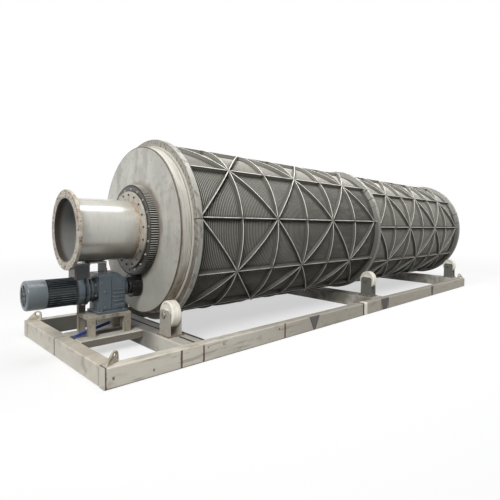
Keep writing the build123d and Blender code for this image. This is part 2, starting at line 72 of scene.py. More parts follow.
class Finish:
    """A metal, nylon or paint whose texture nodes are added one by one, in the piece's own metres.

    A value may be a node's output or a word: X, Y or Z for the point's coordinate, facing X, facing Y or
    facing Z for a part of the surface's normal, or radius or turn about the drum's axis.
    """

    def __init__(self, name, colour, roughness, metallic=0, specular=0.5):
        self.material = bpy.data.materials.new(name)
        self.material.use_nodes = True
        self.tree = self.material.node_tree
        self.shader = self.tree.nodes["Principled BSDF"]
        self.coordinates = self.tree.nodes.new("ShaderNodeTexCoord")
        self.colour = (*colour, 1)
        self.shader.inputs["Base Color"].default_value = self.colour
        self.shader.inputs["Roughness"].default_value = roughness
        self.shader.inputs["Metallic"].default_value = metallic
        self.shader.inputs["Specular IOR Level"].default_value = specular

    def measure(self, word):
        """The value that a word stands for; turn is the angle from +Y towards +Z."""
        if word == "radius":
            y, z = self.measure("Y"), self.work("SUBTRACT", "Z", AXIS_Z)
            squares = [self.work("MULTIPLY", value, value) for value in (y, z)]
            return self.work("SQRT", self.work("ADD", *squares))
        if word == "turn":
            return self.work("ARCTAN2", self.work("SUBTRACT", "Z", AXIS_Z), "Y")
        vector = self.coordinates.outputs["Normal" if word.startswith("facing") else "Object"]
        return self.add("SeparateXYZ", {0: vector}, word[-1])

    def add(self, kind, inputs, output=0, **settings):
        """A node of this material."""
        inputs = {socket: self.measure(value) if isinstance(value, str) else value
                  for socket, value in inputs.items()}
        return add_node(self.tree, kind, inputs, output, **settings)

    def show(self, output, socket):
        """Links an output to the surface."""
        self.tree.links.new(output, self.shader.inputs[socket])

    def work(self, operation, *values):
        """A Math node."""
        return self.add("Math", dict(enumerate(values)), operation=operation)

    def noise(self, scale, detail=4, stretch=(1, 1, 1)):
        """Noise in the piece's space, drawn out along the axes whose stretch is below 1."""
        vector = self.add("Mapping", {0: self.coordinates.outputs["Object"], "Scale": stretch})
        return self.add("TexNoise", {"Vector": vector, "Scale": scale, "Detail": detail, "Roughness": 0.55})

    def ramp(self, value, low, high):
        """0 at low, 1 at high and smooth between; low may be the larger."""
        return self.add("MapRange", {"Value": value, "From Min": low, "From Max": high},
                        interpolation_type="SMOOTHSTEP")

    def near(self, value, centre, half_width, fade=0.004):
        """1 within half_width of the centre, fading out over the next stretch."""
        away = self.work("ABSOLUTE", self.work("SUBTRACT", value, centre))
        return self.ramp(away, half_width + fade, half_width)

    def tint(self, amount, colour, strength=1, *within):
        """Lays a colour over what is there, by the product of amounts from 0 to 1."""
        for share in (*within, strength):
            amount = self.work("MULTIPLY", amount, share)
        self.colour = self.add("Mix", {"A": self.colour, "B": (*colour, 1), "Factor": amount}, "Result",
                               data_type="RGBA")
        self.show(self.colour, "Base Color")

    def fade(self, value, low, high, colour, strength=1, *within):
        """A tint that grows from low to high."""
        self.tint(self.ramp(value, low, high), colour, strength, *within)

    def line(self, value, centre, half_width, colour, strength, *within, fade=0.004):
        """A tint near a value."""
        self.tint(self.near(value, centre, half_width, fade), colour, strength, *within)

    def dirty(self, scale, low, high, colour, strength, stretch=(1, 1, 1)):
        """A tint where noise of this scale is above low, full above high."""
        self.fade(self.noise(scale, 5, stretch), low, high, colour, strength)

    def gloss(self, scale, detail, low, high):
        """Roughness that wanders between two values."""
        self.show(self.add("MapRange", {"Value": self.noise(scale, detail), "To Min": low, "To Max": high}),
                  "Roughness")

    def relief(self, scale, depth, detail=3):
        """Bumps of this depth in metres."""
        bumps = {"Strength": 1, "Distance": depth, "Height": self.noise(scale, detail)}
        self.show(self.add("Bump", bumps), "Normal")


def paint(finish, *names):
    """Gives CAD nodes a finish."""
    for name in names:
        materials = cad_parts[name].data.materials
        materials.clear()
        materials.append(finish.material)


def soften(finish, width, *names):
    """CAD nodes with their loose triangles welded, their hard edges rounded by width, and a finish."""
    paint(finish, *names)
    for name in names:
        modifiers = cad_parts[name].modifiers
        modifiers.new("weld", "WELD").merge_threshold = 0.00005
        adjusted(modifiers.new("rounded edges", "BEVEL"), width=width, segments=2, limit_method="ANGLE",
                 angle_limit=math.radians(40))


def shaded(colour, share):
    """A colour at a share of its brightness."""
    return [share * value for value in colour]


def skid_finish(name, colour):
    """Blasted stainless with cloudy rain marks, brown dust that settles in streaks, and fine scratches."""
    steel = Finish(name, colour, 0.55, 0.08, 0.3)
    steel.dirty(2.2, 0.42, 0.72, shaded(colour, 0.72), 0.55, (0.5, 1, 1.6))
    steel.dirty(8, 0.54, 0.7, (0.36, 0.3, 0.23), 0.5, (0.6, 1, 1))
    steel.dirty(60, 0.62, 0.74, (0.22, 0.18, 0.14), 0.35)
    patches = steel.ramp(steel.noise(6, 5), 0.3, 0.62)
    steel.fade("facing Z", 0.5, 0.9, shaded(colour, 0.62), 0.7, patches)
    steel.gloss(14, 3, 0.42, 0.66)
    steel.relief(70, 0.0005)
    return steel


# Marks on the near rail, each at its distance from the skid's front: weld lines with half width and top,
# flame-cut wedges with half width at the foot and spread, and dots with height and size.
MARK_BROWN, EDGE_FADE = (0.1, 0.055, 0.045), 0.004
WELD_LINES = ((0.634, 0.008, 0.17), (0.856, 0.007, 0.165), (1.891, 0.01, 0.2))
WEDGES = ((2.387, 0.006, 0.46, (0.1, 0.1, 0.11)), (4.004, 0.058, 0.26, (0.065, 0.065, 0.07)),
          (5.64, 0.018, 0.16, (0.06, 0.05, 0.045)))
DOTS = ((0.065, 0.084, 0.01), (0.384, 0.061, 0.009), (1.075, 0.127, 0.008), (0.904, 0.132, 0.006),
        (1.804, 0.13, 0.01), (3.016, 0.151, 0.009), (3.388, 0.149, 0.008), (3.09, 0.06, 0.005))
rail = skid_finish("near_rail_steel", (0.74, 0.695, 0.6))
outer_face = rail.ramp("Y", 0.01 - RAIL_OUTER, 0.004 - RAIL_OUTER)
# The rail darkens steadily from 0.6 m to 2.7 m behind its front.
rail.fade("X", FRONT + 0.6, FRONT + 2.7, (0.34, 0.315, 0.265), 0.78)
# Darker along the foot, below a ragged line: painted contact shade where the rail meets the floor, together
# with splash dirt.
splashed = rail.work("ADD", "Z", rail.work("MULTIPLY", rail.noise(9), 0.02))
rail.fade(splashed, 0.026, 0.014, (0.16, 0.13, 0.1), 0.75)
rail.dirty(24, 0.56, 0.66, (0.3, 0.25, 0.19), 0.5, (0.12, 1, 1))
ragged = rail.work("MULTIPLY", rail.work("SUBTRACT", rail.noise(30), 0.5), 0.014)
ragged_x = rail.work("ADD", "X", ragged)
for x, half_width, top in WELD_LINES:
    below_top = rail.ramp("Z", top + EDGE_FADE, top - EDGE_FADE)
    rail.line(ragged_x, FRONT + x, half_width, MARK_BROWN, 0.92, below_top, outer_face)
for x, foot_half, spread, colour in WEDGES:
    away = rail.work("ABSOLUTE", rail.work("SUBTRACT", ragged_x, FRONT + x))
    edge = rail.work("SUBTRACT", away, rail.work("MULTIPLY", "Z", spread))
    rail.fade(edge, foot_half + EDGE_FADE, foot_half - EDGE_FADE, colour, 0.92, outer_face)
    rail.line(edge, foot_half, 0.006, MARK_BROWN, 0.85, outer_face)
for x in (3.898, 4.106):
    rail.line(ragged_x, FRONT + x, 0.006, MARK_BROWN, 0.8, outer_face)
for x, z, size in DOTS:
    level = rail.near("Z", z, size, size * 0.6)
    rail.line("X", FRONT + x, size * 0.6, (0.12, 0.075, 0.05), 0.85, level, outer_face, fade=size * 0.5)
rail.line(ragged_x, FRONT + 0.006, 0.007, MARK_BROWN, 0.9)
# Painted shadow: a near-black band on the rail just ahead of the joint strap.
rail.line("X", FRONT + 3.433, 0.017, (0.06, 0.045, 0.035), 0.95)
paint(rail, "near_rail")

front = skid_finish("front_member_steel", (0.74, 0.695, 0.6))
front.line("Y", 0.083, 0.01, MARK_BROWN, 0.92)
front.fade("facing Z", 0.5, 0.9, (0.5, 0.43, 0.34), 0.45)
paint(front, "front_cross_member")
cap = skid_finish("end_cap_steel", (0.72, 0.675, 0.59))
cap.line("X", FRONT + 0.008, 0.003, MARK_BROWN, 0.85, fade=0.003)
soften(cap, 0.002, "rail_end_caps")
inner = skid_finish("inner_member_steel", (0.62, 0.6, 0.53))
inner.dirty(3, 0.4, 0.66, (0.15, 0.14, 0.115), 0.75)
paint(inner, "mid_cross_members", "tail_cross_members")
far = skid_finish("far_rail_steel", (0.62, 0.59, 0.51))
far.dirty(3, 0.4, 0.66, (0.3, 0.28, 0.235), 0.6)
# Painted shade: the far rail's inner face, turned towards the near rail, is near black.
far.fade("facing Y", -0.4, -0.8, (0.07, 0.067, 0.056), 0.93)
paint(far, "far_rail")
member = skid_finish("head_member_steel", (0.66, 0.63, 0.56))
# Painted shade under the drum: the members darken from 0.66 m to 0.3 m on the near side of the middle, and
# stay dark beyond.
member.fade("Y", -0.66, -0.3, (0.17, 0.165, 0.145), 0.85)
# Painted shade in the gaps: near-black bands at the slots between the members' tubes.
slot_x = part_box("head_cross_members")[0].x + 0.125
for x in (slot_x, slot_x + 0.095):
    member.line("X", x, 0.011, (0.025, 0.02, 0.018), 0.95)
paint(member, "head_cross_members")
lug = skid_finish("lug_steel", (0.56, 0.51, 0.41))
lug.dirty(22, 0.45, 0.62, (0.2, 0.16, 0.12), 0.6)
soften(lug, 0.002, "lifting_lugs")


# Two drive beams carry the stand. They are a flatter section, about 160 mm wide and 77 mm deep, welded in
# flush with the skid's top, and oil and dust from the gearbox have turned their sides brown.
def grid_faces(rows, columns, closed=True):
    """Quads of a grid of closed loops, numbered row by row; closed joins the last to the first."""
    row, column = np.arange(rows if closed else rows - 1)[:, None], np.arange(columns)[None]
    next_row, next_column = (row + 1) % rows, (column + 1) % columns
    corners = (row * columns + column, next_row * columns + column,
               next_row * columns + next_column, row * columns + next_column)
    return np.stack(np.broadcast_arrays(*corners), -1).reshape(-1, 4).tolist()


def capped(rows, columns):
    """Faces of a grid of closed loops with a flat face on the first row and on the last."""
    last = (rows - 1) * columns
    return grid_faces(rows, columns, False) + [list(range(columns)), list(range(last, last + columns))]


def joined(parts):
    """One list of points and one of faces from several closed surfaces.

    A surface whose faces enclose a negative volume, summed over fans of triangles, is turned inside out.
    """
    all_points, all_faces, start = [], [], 0
    for points, faces in parts:
        points = np.asarray(points, float).reshape(-1, 3)
        fans = [(face[0], face[i], face[i + 1]) for face in faces for i in range(1, len(face) - 1)]
        a, b, c = points[np.array(fans).T]
        step = -1 if np.einsum("ij,ij->", a, np.cross(b, c)) < 0 else 1
        all_faces += [[start + int(corner) for corner in face[::step]] for face in faces]
        all_points.append(points)
        start += len(points)
    return np.concatenate(all_points), all_faces


def placed(name, data, **settings):
    """An object in the scene, of data with these properties."""
    thing = bpy.data.objects.new(name, adjusted(data, **settings))
    bpy.context.scene.collection.objects.link(thing)
    return thing


def mesh_piece(name, parts, finish, replaced=(), body="base_frame", slot="frame_steel", smooth_angle=35):
    """A piece from closed surfaces, smooth where faces meet at less than the angle, in place of CAD nodes."""
    points, faces = joined(parts)
    mesh = bpy.data.meshes.new(name)
    mesh.from_pydata(points.tolist(), [], faces)
    mesh.validate()
    mesh.shade_smooth()
    mesh.set_sharp_from_angle(angle=math.radians(smooth_angle))
    mesh.materials.append(finish.material)
    piece = placed(name, mesh)
    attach(piece, body)
    if replaced:
        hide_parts(*replaced)


def bevelled(a0, a1, b0, b1, edge):
    """A rectangle's outline from a0 to a1 and b0 to b1 with its corners cut."""
    return np.array([(a1, b0 + edge), (a1, b1 - edge), (a1 - edge, b1), (a0 + edge, b1),
                     (a0, b1 - edge), (a0, b0 + edge), (a0 + edge, b0), (a1 - edge, b0)])


def block(low, high, edge):
    """A box between two corners with its edges chamfered."""
    low, high = np.asarray(low, float), np.asarray(high, float)
    middle, (half_y, half_z) = (low + high) / 2, (high - low)[1:] / 2
    loop = bevelled(-half_y, half_y, -half_z, half_z, edge)
    shrink = 1 - 0.8 * edge / np.array([half_y, half_z])
    stations = ((low[0], shrink), (low[0] + edge, 1), (high[0] - edge, 1), (high[0], shrink))
    loops = [np.column_stack([np.full(8, x), middle[1:] + loop * scale]) for x, scale in stations]
    return np.concatenate(loops), capped(4, 8)


BEAM_DEPTH, BEAM_INNER_Y, BEAM_OUTER_Y, BEAM_EDGE = 0.077, 0.075, 0.236, 0.008
beam = skid_finish("drive_beam_steel", (0.62, 0.6, 0.53))
beam.fade("facing Y", -0.8, -0.97, (0.12, 0.1, 0.082), 0.85)
low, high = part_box("drive_beams")
beams = []
for near_y, far_y in ((-BEAM_OUTER_Y, -BEAM_INNER_Y), (BEAM_INNER_Y, BEAM_OUTER_Y)):
    beams.append(block((low.x, near_y, high.z - BEAM_DEPTH), (high.x, far_y, high.z), BEAM_EDGE))
mesh_piece("drive_beam_sections", beams, beam, ["drive_beams"])


# The welds are laid by hand with a torch: a bead of overlapping ripples along each foot and joint,
# left brown and blue beside the ripples because nobody pickled them.
def studs(centres, direction, rings, sides=12, aslant=None):
    """A turned shape at each centre, pointing along the direction.

    rings lists (height, radius) from foot to top. The point at angle a of a ring lies at
    centre + height * direction + radius * (cos a * first + sin a * second), first and second square to it;
    first is square to aslant too.
    """
    direction = np.asarray(direction, float)
    if aslant is None:
        aslant = (0, 0.6, 0.8) if abs(direction[0]) > 0.7 else (1, 0, 0)
    first = np.cross(direction, aslant)
    first /= np.linalg.norm(first)
    second = np.cross(direction, first)
    angle = np.linspace(0, 2 * np.pi, sides, endpoint=False)
    height, radius = np.asarray(rings, float).T[:, :, None, None]
    shape = height * direction + radius * (np.cos(angle)[:, None] * first + np.sin(angle)[:, None] * second)
    return [((shape + centre).reshape(-1, 3), capped(len(rings), sides)) for centre in np.asarray(centres)]


def rod(start, end, radii, sides=6):
    """A round bar between two points, its radii spread evenly from one end to the other."""
    run = np.subtract(end, start)
    length = np.linalg.norm(run)
    rings = np.stack([np.linspace(0, length, len(radii)), radii], 1)
    return studs([start], run / length, rings, sides, (0.36, 0.48, 0.8))[0]


def weld_bead(start, end, size=0.0045):
    """A bead between two points: its radius is size * (1 + 0.2 cos(2 pi s / ripple)) at distance s."""
    ripple = 0.009
    length = np.linalg.norm(np.subtract(end, start))
    s = np.linspace(0, length, max(4, round(2 * length / ripple)))
    return rod(start, end, size * (1 + 0.2 * np.cos(2 * np.pi * s / ripple)))


def foot_beads(low_x, high_x, low_y, high_y, z):
    """Beads round a rectangular foot."""
    corners = [(low_x, low_y, z), (high_x, low_y, z), (high_x, high_y, z), (low_x, high_y, z)]
    return [weld_bead(corners[i], corners[(i + 1) % 4]) for i in range(4)]


MEMBER_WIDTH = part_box("front_cross_member")[1].x - FRONT
INNER_Y = RAIL_OUTER - MEMBER_WIDTH
BEAD_INSET, TOP_BEAD_SIZE, PLATE_FOOT, FOOT_THICKNESS, STAND_LEG = 0.016, 0.006, 0.106, 0.012, 0.06
weld = Finish("weld_steel", (0.42, 0.385, 0.33), 0.45, 0.2)
weld.dirty(20, 0.4, 0.66, (0.17, 0.11, 0.075), 0.7)
beads = []
for name in ("front_cross_member", "head_cross_members", "mid_cross_members", "tail_cross_members"):
    low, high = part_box(name)
    for x in [low.x] if name == "front_cross_member" else [low.x, high.x - MEMBER_WIDTH]:
        for y in (-INNER_Y, INNER_Y):
            ends = [(bead_x, y + math.copysign(0.002, y), RAIL_TOP - 0.005)
                    for bead_x in (x + BEAD_INSET, x + MEMBER_WIDTH - BEAD_INSET)]
            beads.append(weld_bead(*ends, TOP_BEAD_SIZE))
            for bead_x in (x, x + MEMBER_WIDTH):
                beads.append(weld_bead((bead_x, y, BEAD_INSET), (bead_x, y, RAIL_TOP - BEAD_INSET)))
for station in ("head", "mid", "tail"):
    low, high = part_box(station + "_roller_brackets")
    roller_low, roller_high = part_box(station + "_near_roller")
    middle_y = -(roller_low.y + roller_high.y) / 2
    half_y = high.y - middle_y
    foot_z = RAIL_TOP + FOOT_THICKNESS
    for y in (-middle_y, middle_y):
        beads += foot_beads(low.x, high.x, y - half_y, y + half_y, RAIL_TOP)
        for x in (low.x + 0.022, low.x + 0.034, high.x - 0.034, high.x - 0.022):
            beads.append(weld_bead((x, y - PLATE_FOOT, foot_z), (x, y + PLATE_FOOT, foot_z)))
low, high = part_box("stand_legs")
for x in (low.x, high.x - STAND_LEG):
    for y in (low.y, high.y - STAND_LEG):
        for z in (RAIL_TOP, high.z):
            beads += foot_beads(x, x + STAND_LEG, y, y + STAND_LEG, z)
mesh_piece("weld_beads", beads, weld, smooth_angle=60)


# One joint in the near rail is bridged by a bright strap of 5 mm steel, cleaner than the rail. It is bent
# over the rail's top and down its side, and a near-black band of painted shadow lies on the rail beside it.
def carried(profile, path, across=(0, 1, 0), upward=(0, 0, 1)):
    """A closed profile of (a, h) carried along a path, with flat ends.

    The profile's point (a, h) lies at path + a * across + h * upward, with one across and one upward
    direction for each point of the path, or the same for all.
    """
    profile = np.asarray(profile, float)
    path = np.asarray(path, float)[:, None]
    across = np.broadcast_to(np.asarray(across, float), (len(path), 3))[:, None]
    upward = np.broadcast_to(np.asarray(upward, float), (len(path), 3))[:, None]
    points = path + profile[:, :1] * across + profile[:, 1:] * upward
    return points.reshape(-1, 3), capped(len(path), len(profile))


STRAP_X, STRAP_WIDTH, STRAP_THICKNESS = FRONT + 3.449, 0.07, 0.005
BEND, STRAP_FOOT, STRAP_REACH = 0.014, 0.004, 0.085
strap = Finish("strap_steel", (0.88, 0.84, 0.74), 0.5)
strap.dirty(20, 0.5, 0.75, (0.62, 0.56, 0.46), 0.5)
corner_y, corner_z = BEND - RAIL_OUTER, RAIL_TOP - BEND
bend_angle = np.linspace(0, np.pi / 2, 7)
inside, outside = ([(corner_y - radius * np.cos(a), radius * np.sin(a) + corner_z) for a in bend_angle]
                   for radius in (BEND, BEND + STRAP_THICKNESS))
reach_y = corner_y + STRAP_REACH
strap_loop = [(-RAIL_OUTER, STRAP_FOOT), *inside, (reach_y, RAIL_TOP), (reach_y, RAIL_TOP + STRAP_THICKNESS),
              *outside[::-1], (-RAIL_OUTER - STRAP_THICKNESS, STRAP_FOOT)]
mesh_piece("rail_joint_strap", [carried(strap_loop, [(STRAP_X, 0, 0), (STRAP_X + STRAP_WIDTH, 0, 0)])], strap)


# The rollers are turned from cast nylon, cream with age, with a recessed web and a groove round the middle.
# Each turns on a steel pin held by nuts between two flame-cut plates that stand on a thick foot.
def around(x, radius, angle, z=AXIS_Z, y=0):
    """Points about an axis along X: the one at an angle a lies at x, y + radius cos a, z + radius sin a."""
    return np.stack(np.broadcast_arrays(x, y + radius * np.cos(angle), z + radius * np.sin(angle)), -1)


def turned(profile, segments, z=AXIS_Z, y=0):
    """A ring turned about an axis along X, from a closed loop of (x, radius)."""
    x, radius = np.asarray(profile, float).T[:, :, None]
    points = around(x, radius, np.linspace(0, 2 * np.pi, segments, endpoint=False), z, y)
    return points.reshape(-1, 3), grid_faces(len(profile), segments)


nylon = Finish("cream_nylon", (0.94, 0.91, 0.81), 0.42, 0, 0.4)
nylon.dirty(14, 0.45, 0.75, (0.66, 0.6, 0.48), 0.45)
nylon.dirty(60, 0.64, 0.74, (0.42, 0.36, 0.27), 0.45)
nylon.relief(90, 0.0003, 2)
ROLLER_RADIUS, RIM_CHAMFER, GROOVE_HALF, GROOVE_DEPTH = 0.135, 0.007, 0.0025, 0.004
BORE_RADIUS, HUB_RADIUS, WEB_INNER, WEB_OUTER, RIM_INNER, WEB_STEP = 0.02, 0.045, 0.05, 0.105, 0.111, 0.006
for station in ("head", "mid", "tail"):
    for name in (station + "_near_roller", station + "_far_roller"):
        low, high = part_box(name)
        half = (high.x - low.x) / 2
        web = half - WEB_STEP
        right = [(half, BORE_RADIUS), (half, HUB_RADIUS), (web, WEB_INNER), (web, WEB_OUTER),
                 (half, RIM_INNER), (half, ROLLER_RADIUS - RIM_CHAMFER), (half - RIM_CHAMFER, ROLLER_RADIUS),
                 (GROOVE_HALF + 0.001, ROLLER_RADIUS), (GROOVE_HALF, ROLLER_RADIUS - GROOVE_DEPTH)]
        middle = (low.x + high.x) / 2
        rim = [(middle + x, r) for x, r in right] + [(middle - x, r) for x, r in right[::-1]]
        shape = turned(rim, 72, (low.z + high.z) / 2, (low.y + high.y) / 2)
        mesh_piece(name + "_turned", [shape], nylon, [name], name, "nylon")

bracket = Finish("bracket_steel", (0.44, 0.42, 0.37), 0.5, 0.1, 0.35)
bracket.dirty(12, 0.45, 0.72, (0.33, 0.29, 0.235), 0.55)
bracket.dirty(50, 0.6, 0.72, (0.16, 0.11, 0.08), 0.5)
bracket.line("Z", RAIL_TOP + 0.004, 0.006, (0.13, 0.065, 0.045), 0.9)
# Painted shade under the drum: brackets more than 2 to 3 m behind the front, at the mid and tail stations,
# are darkened.
bracket.fade("X", FRONT + 2, FRONT + 3, (0.1, 0.102, 0.088), 0.8)
bracket.relief(80, 0.0004)
soften(bracket, 0.0015, "head_roller_brackets", "mid_roller_brackets", "tail_roller_brackets")
pin_steel = Finish("pin_steel", (0.42, 0.4, 0.36), 0.4, 0.5)
pin_steel.dirty(40, 0.44, 0.62, (0.16, 0.13, 0.11), 0.7)
# Painted shade under the drum: pins more than 2 to 3 m behind the front, at the mid and tail stations, are
# darkened.
pin_steel.fade("X", FRONT + 2, FRONT + 3, (0.12, 0.115, 0.1), 0.6)
soften(pin_steel, 0.002, "roller_axles")
soften(pin_steel, 0.003, "roller_axle_nuts")

# The stand under the gearbox is welded from square hollow section with a thick plate on shallow rails, left
# as it came from the saw. Its far front leg runs on up to the motor's adapter. A bar painted blue, with a
# bare pale tip, slants up to the far rear leg.
stand = Finish("stand_steel", (0.42, 0.385, 0.32), 0.55, 0.1, 0.3)
stand.dirty(7, 0.42, 0.66, (0.25, 0.215, 0.165), 0.75, (1, 1, 0.4))
stand.dirty(34, 0.55, 0.7, (0.13, 0.1, 0.08), 0.6)
stand.dirty(16, 0.46, 0.6, (0.12, 0.1, 0.08), 0.6, (1, 1, 0.25))
stand.fade("facing Z", 0.5, 0.9, (0.47, 0.44, 0.37), 0.6)
stand.relief(60, 0.0005)
soften(stand, 0.005, "stand_legs", "stand_plate")
TOP_RAIL_DEPTH, RAIL_EDGE, POST_TOP, POST_EDGE = 0.022, 0.002, 0.57, 0.003
low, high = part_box("stand_rails")
foot_z = high.z - TOP_RAIL_DEPTH
top_rails = [block((low.x + STAND_LEG, y, foot_z), (high.x - STAND_LEG, y + STAND_LEG, high.z), RAIL_EDGE)
             for y in (low.y, high.y - STAND_LEG)]
top_rails += [block((x, low.y + STAND_LEG, foot_z), (x + STAND_LEG, high.y - STAND_LEG, high.z), RAIL_EDGE)
              for x in (low.x, high.x - STAND_LEG)]
mesh_piece("stand_top_rails", top_rails, stand, ["stand_rails"])
post = block((low.x, high.y - STAND_LEG, high.z), (low.x + STAND_LEG, high.y, POST_TOP), POST_EDGE)
mesh_piece("adapter_post", [post], stand)
BAR_RADIUS, BAR_END_RADIUS, BARE_TIP = 0.0175, 0.0155, 0.045
low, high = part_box("stand_brace_rod")
rod_paint = Finish("blue_rod_paint", (0.018, 0.058, 0.29), 0.35)
rod_paint.dirty(50, 0.5, 0.66, (0.12, 0.17, 0.38), 0.6)
rod_paint.line("X", high.x, BARE_TIP, (0.75, 0.74, 0.7), 1, fade=0.006)
bar = rod((low.x, low.y + BAR_RADIUS, low.z + BAR_RADIUS), (high.x, high.y - BAR_RADIUS, high.z - BAR_RADIUS),
          [BAR_END_RADIUS] + [BAR_RADIUS] * 8 + [BAR_END_RADIUS], 16)
mesh_piece("blue_brace_bar", [bar], rod_paint, ["stand_brace_rod"], slot="rod_paint")

# The geared motor is cast iron and aluminium under one coat of blue-grey enamel: a helical gearbox on
# feet, a bell-shaped adapter, and a finned motor whose pressed steel cowl covers the fan. Hexagon screws
# hold the parts together, and pale dust lies on all that faces up.
low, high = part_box("motor_body")
DRIVE_Z = (low.z + high.z) / 2
ENAMEL = (0.07, 0.094, 0.112)


def drive_finish(name, colour):
    """Enamel with rubbed patches and dust on what faces up."""
    coat = Finish(name, colour, 0.3, 0, 0.55)
    coat.dirty(9, 0.45, 0.75, shaded(colour, 1.35), 0.6)
    coat.dirty(55, 0.6, 0.75, (0.2, 0.2, 0.19), 0.35)
    patches = coat.ramp(coat.noise(20, 5), 0.35, 0.6)
    coat.fade("facing Z", 0.45, 0.95, (0.3, 0.315, 0.315), 0.6, patches)
    coat.gloss(25, 3, 0.2, 0.42)
    coat.relief(130, 0.0005)
    return coat


def on_circle(x, radius, first, count, z=AXIS_Z):
    """Points spaced evenly on a circle about an axis along X; first is the first one's angle in degrees."""
    angle = np.radians(first) + 2 * np.pi * np.arange(count) / count
    return around(x, radius, angle, z)


enamel = drive_finish("drive_enamel", ENAMEL)
pale_coat = drive_finish("pale_enamel", (0.115, 0.138, 0.152))
soften(enamel, 0.004, "gearbox_housing", "gearbox_feet", "gearbox_output_cover", "cable_gland",
       "gearbox_foot_bolts")
joints = drive_finish("enamel_with_painted_seam_shade", ENAMEL)
adapter_low, adapter_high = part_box("motor_adapter")
# Painted shade in the seams: near-black bands at the adapter's front end, behind its flange, near its rear
# end and at the end shield's joint.
for x, half_width in ((adapter_low.x, 0.01), (adapter_high.x - 0.026, 0.014),
                      (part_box("motor_end_shield")[0].x, 0.008), (adapter_low.x + 0.045, 0.006)):
    joints.line("X", x, half_width, (0.012, 0.015, 0.018), 0.9, fade=0.008)
soften(joints, 0.004, "motor_adapter", "motor_end_shield")
box_coat = drive_finish("terminal_box_enamel", (0.017, 0.022, 0.027))
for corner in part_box("terminal_box"):
    box_coat.line("X", corner.x, 0.012, (0.11, 0.062, 0.045), 0.7, fade=0.008)
soften(box_coat, 0.003, "terminal_box")
soften(pale_coat, 0.003, "terminal_box_lid")

FINS, FIN_FOOT, FIN_TIP = 36, 0.1165, 0.1355
angle = 2 * np.pi / FINS * np.arange(FINS)[:, None] + np.array([-0.021, -0.011, 0.011, 0.021])
depth = np.array([FIN_FOOT, FIN_TIP, FIN_TIP, FIN_FOOT])
fins = np.stack([depth * np.cos(angle), DRIVE_Z + depth * np.sin(angle)], -1).reshape(-1, 2)
# The fins' enamel is a darker copy of the gearbox's, as painted shade, and darker still towards the fin
# roots, as painted shade between the fins.
fin_coat = drive_finish("fin_enamel_painted_shade", (0.04, 0.053, 0.064))
fin_height = fin_coat.work("SUBTRACT", "Z", DRIVE_Z)
radius_squared = fin_coat.work("ADD", fin_coat.work("MULTIPLY", fin_height, fin_height),
                                 fin_coat.work("POWER", "Y", 2))
fin_coat.fade(radius_squared, 0.0172, 0.0142, (0.018, 0.024, 0.029), 0.9)
mesh_piece("motor_fins", [carried(fins, [(low.x - 0.004, 0, 0), (high.x + 0.002, 0, 0)])], fin_coat,
           ["motor_body"], slot="drive_paint")

cowl_low, cowl_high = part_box("motor_fan_cowl")
COWL_RADIUS, COWL_SHEET, GRILLE_RADIUS = (cowl_high.z - cowl_low.z) / 2, 0.0025, 0.096
WIRE, SPOKES, SPOKE_RADIUS = 0.0015, 8, 0.0022
end = cowl_low.x
cowl = [(cowl_high.x, COWL_RADIUS - COWL_SHEET), (cowl_high.x, COWL_RADIUS), (end + 0.016, COWL_RADIUS),
        (end + 0.006, COWL_RADIUS - 0.004), (end, COWL_RADIUS - 0.014), (end, GRILLE_RADIUS),
        (end + 0.002, GRILLE_RADIUS), (end + 0.002, COWL_RADIUS - 0.015), (end + 0.008, COWL_RADIUS - 0.006),
        (end + 0.017, COWL_RADIUS - COWL_SHEET)]
grille = [turned(cowl, 72, DRIVE_Z)]
wire_angle = np.arange(6) * math.pi / 3
for radius in (0.018, 0.034, 0.05, 0.066, 0.082):
    wire = np.stack([end + WIRE + WIRE * np.cos(wire_angle), radius + WIRE * np.sin(wire_angle)], 1)
    grille.append(turned(wire, 36, DRIVE_Z))
spoke_ends = [on_circle(end + 0.0025, radius, 15, SPOKES, DRIVE_Z) for radius in (0.012, 0.1)]
grille += [rod(inner_end, outer_end, [SPOKE_RADIUS] * 2) for inner_end, outer_end in zip(*spoke_ends)]
mesh_piece("fan_cowl_and_grille", grille, pale_coat, ["motor_fan_cowl"], slot="drive_paint")
BLADES, BLADE_REACH, BLADE_THICKNESS = 9, 0.112, 0.006
fan_plastic = Finish("fan_plastic", (0.022, 0.022, 0.024), 0.5)
fan = studs([(end + 0.03, 0, DRIVE_Z)], (-1, 0, 0), [(-0.008, 0.118), (0, 0.118)], 48)
fan += studs([(end + 0.03, 0, DRIVE_Z)], (-1, 0, 0), [(0, 0.03), (0.016, 0.026)], 24)
hub = (end + 0.02, 0, DRIVE_Z)
for tip in on_circle(end + 0.02, BLADE_REACH, 0, BLADES, DRIVE_Z):
    fan.append(rod((tip - hub) * 0.25 + hub, tip, [BLADE_THICKNESS] * 2, 4))
mesh_piece("cooling_fan", fan, fan_plastic, slot="drive_paint")

# The gearbox's cast ribs and split line, and its screws: the circles of the adapter, the end shield and the
# output cover (X, radius, first angle, count and the way they face), the lid's corners, the oil plugs (X and
# Z) and the eye bolt on top.
HEXAGON_HEAD = [(-0.003, 0.0105), (0.006, 0.0105), (0.0075, 0.0092)]
PLUGS = ((-3.115, 0.455), (-3.115, 0.61), (-3.145, 0.7))
PLUG_HEAD = [(-0.003, 0.014), (0.004, 0.014), (0.01, 0.011)]
SCREW_CIRCLES = ((-3.193, 0.135, 22.5, 8, -1), (-3.277, 0.128, 45, 4, 1), (-2.885, 0.088, 0, 6, 1))
LID_SCREWS_X, LID_SCREW_Y, EYE_X, EYE_RADIUS, EYE_THICKNESS = (-3.355, -3.241), 0.077, -3.06, 0.02, 0.006
box_low, box_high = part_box("gearbox_housing")
SPLIT_X, HALF_WIDTH = FRONT + 0.432, box_high.y
casting, fittings = [], []
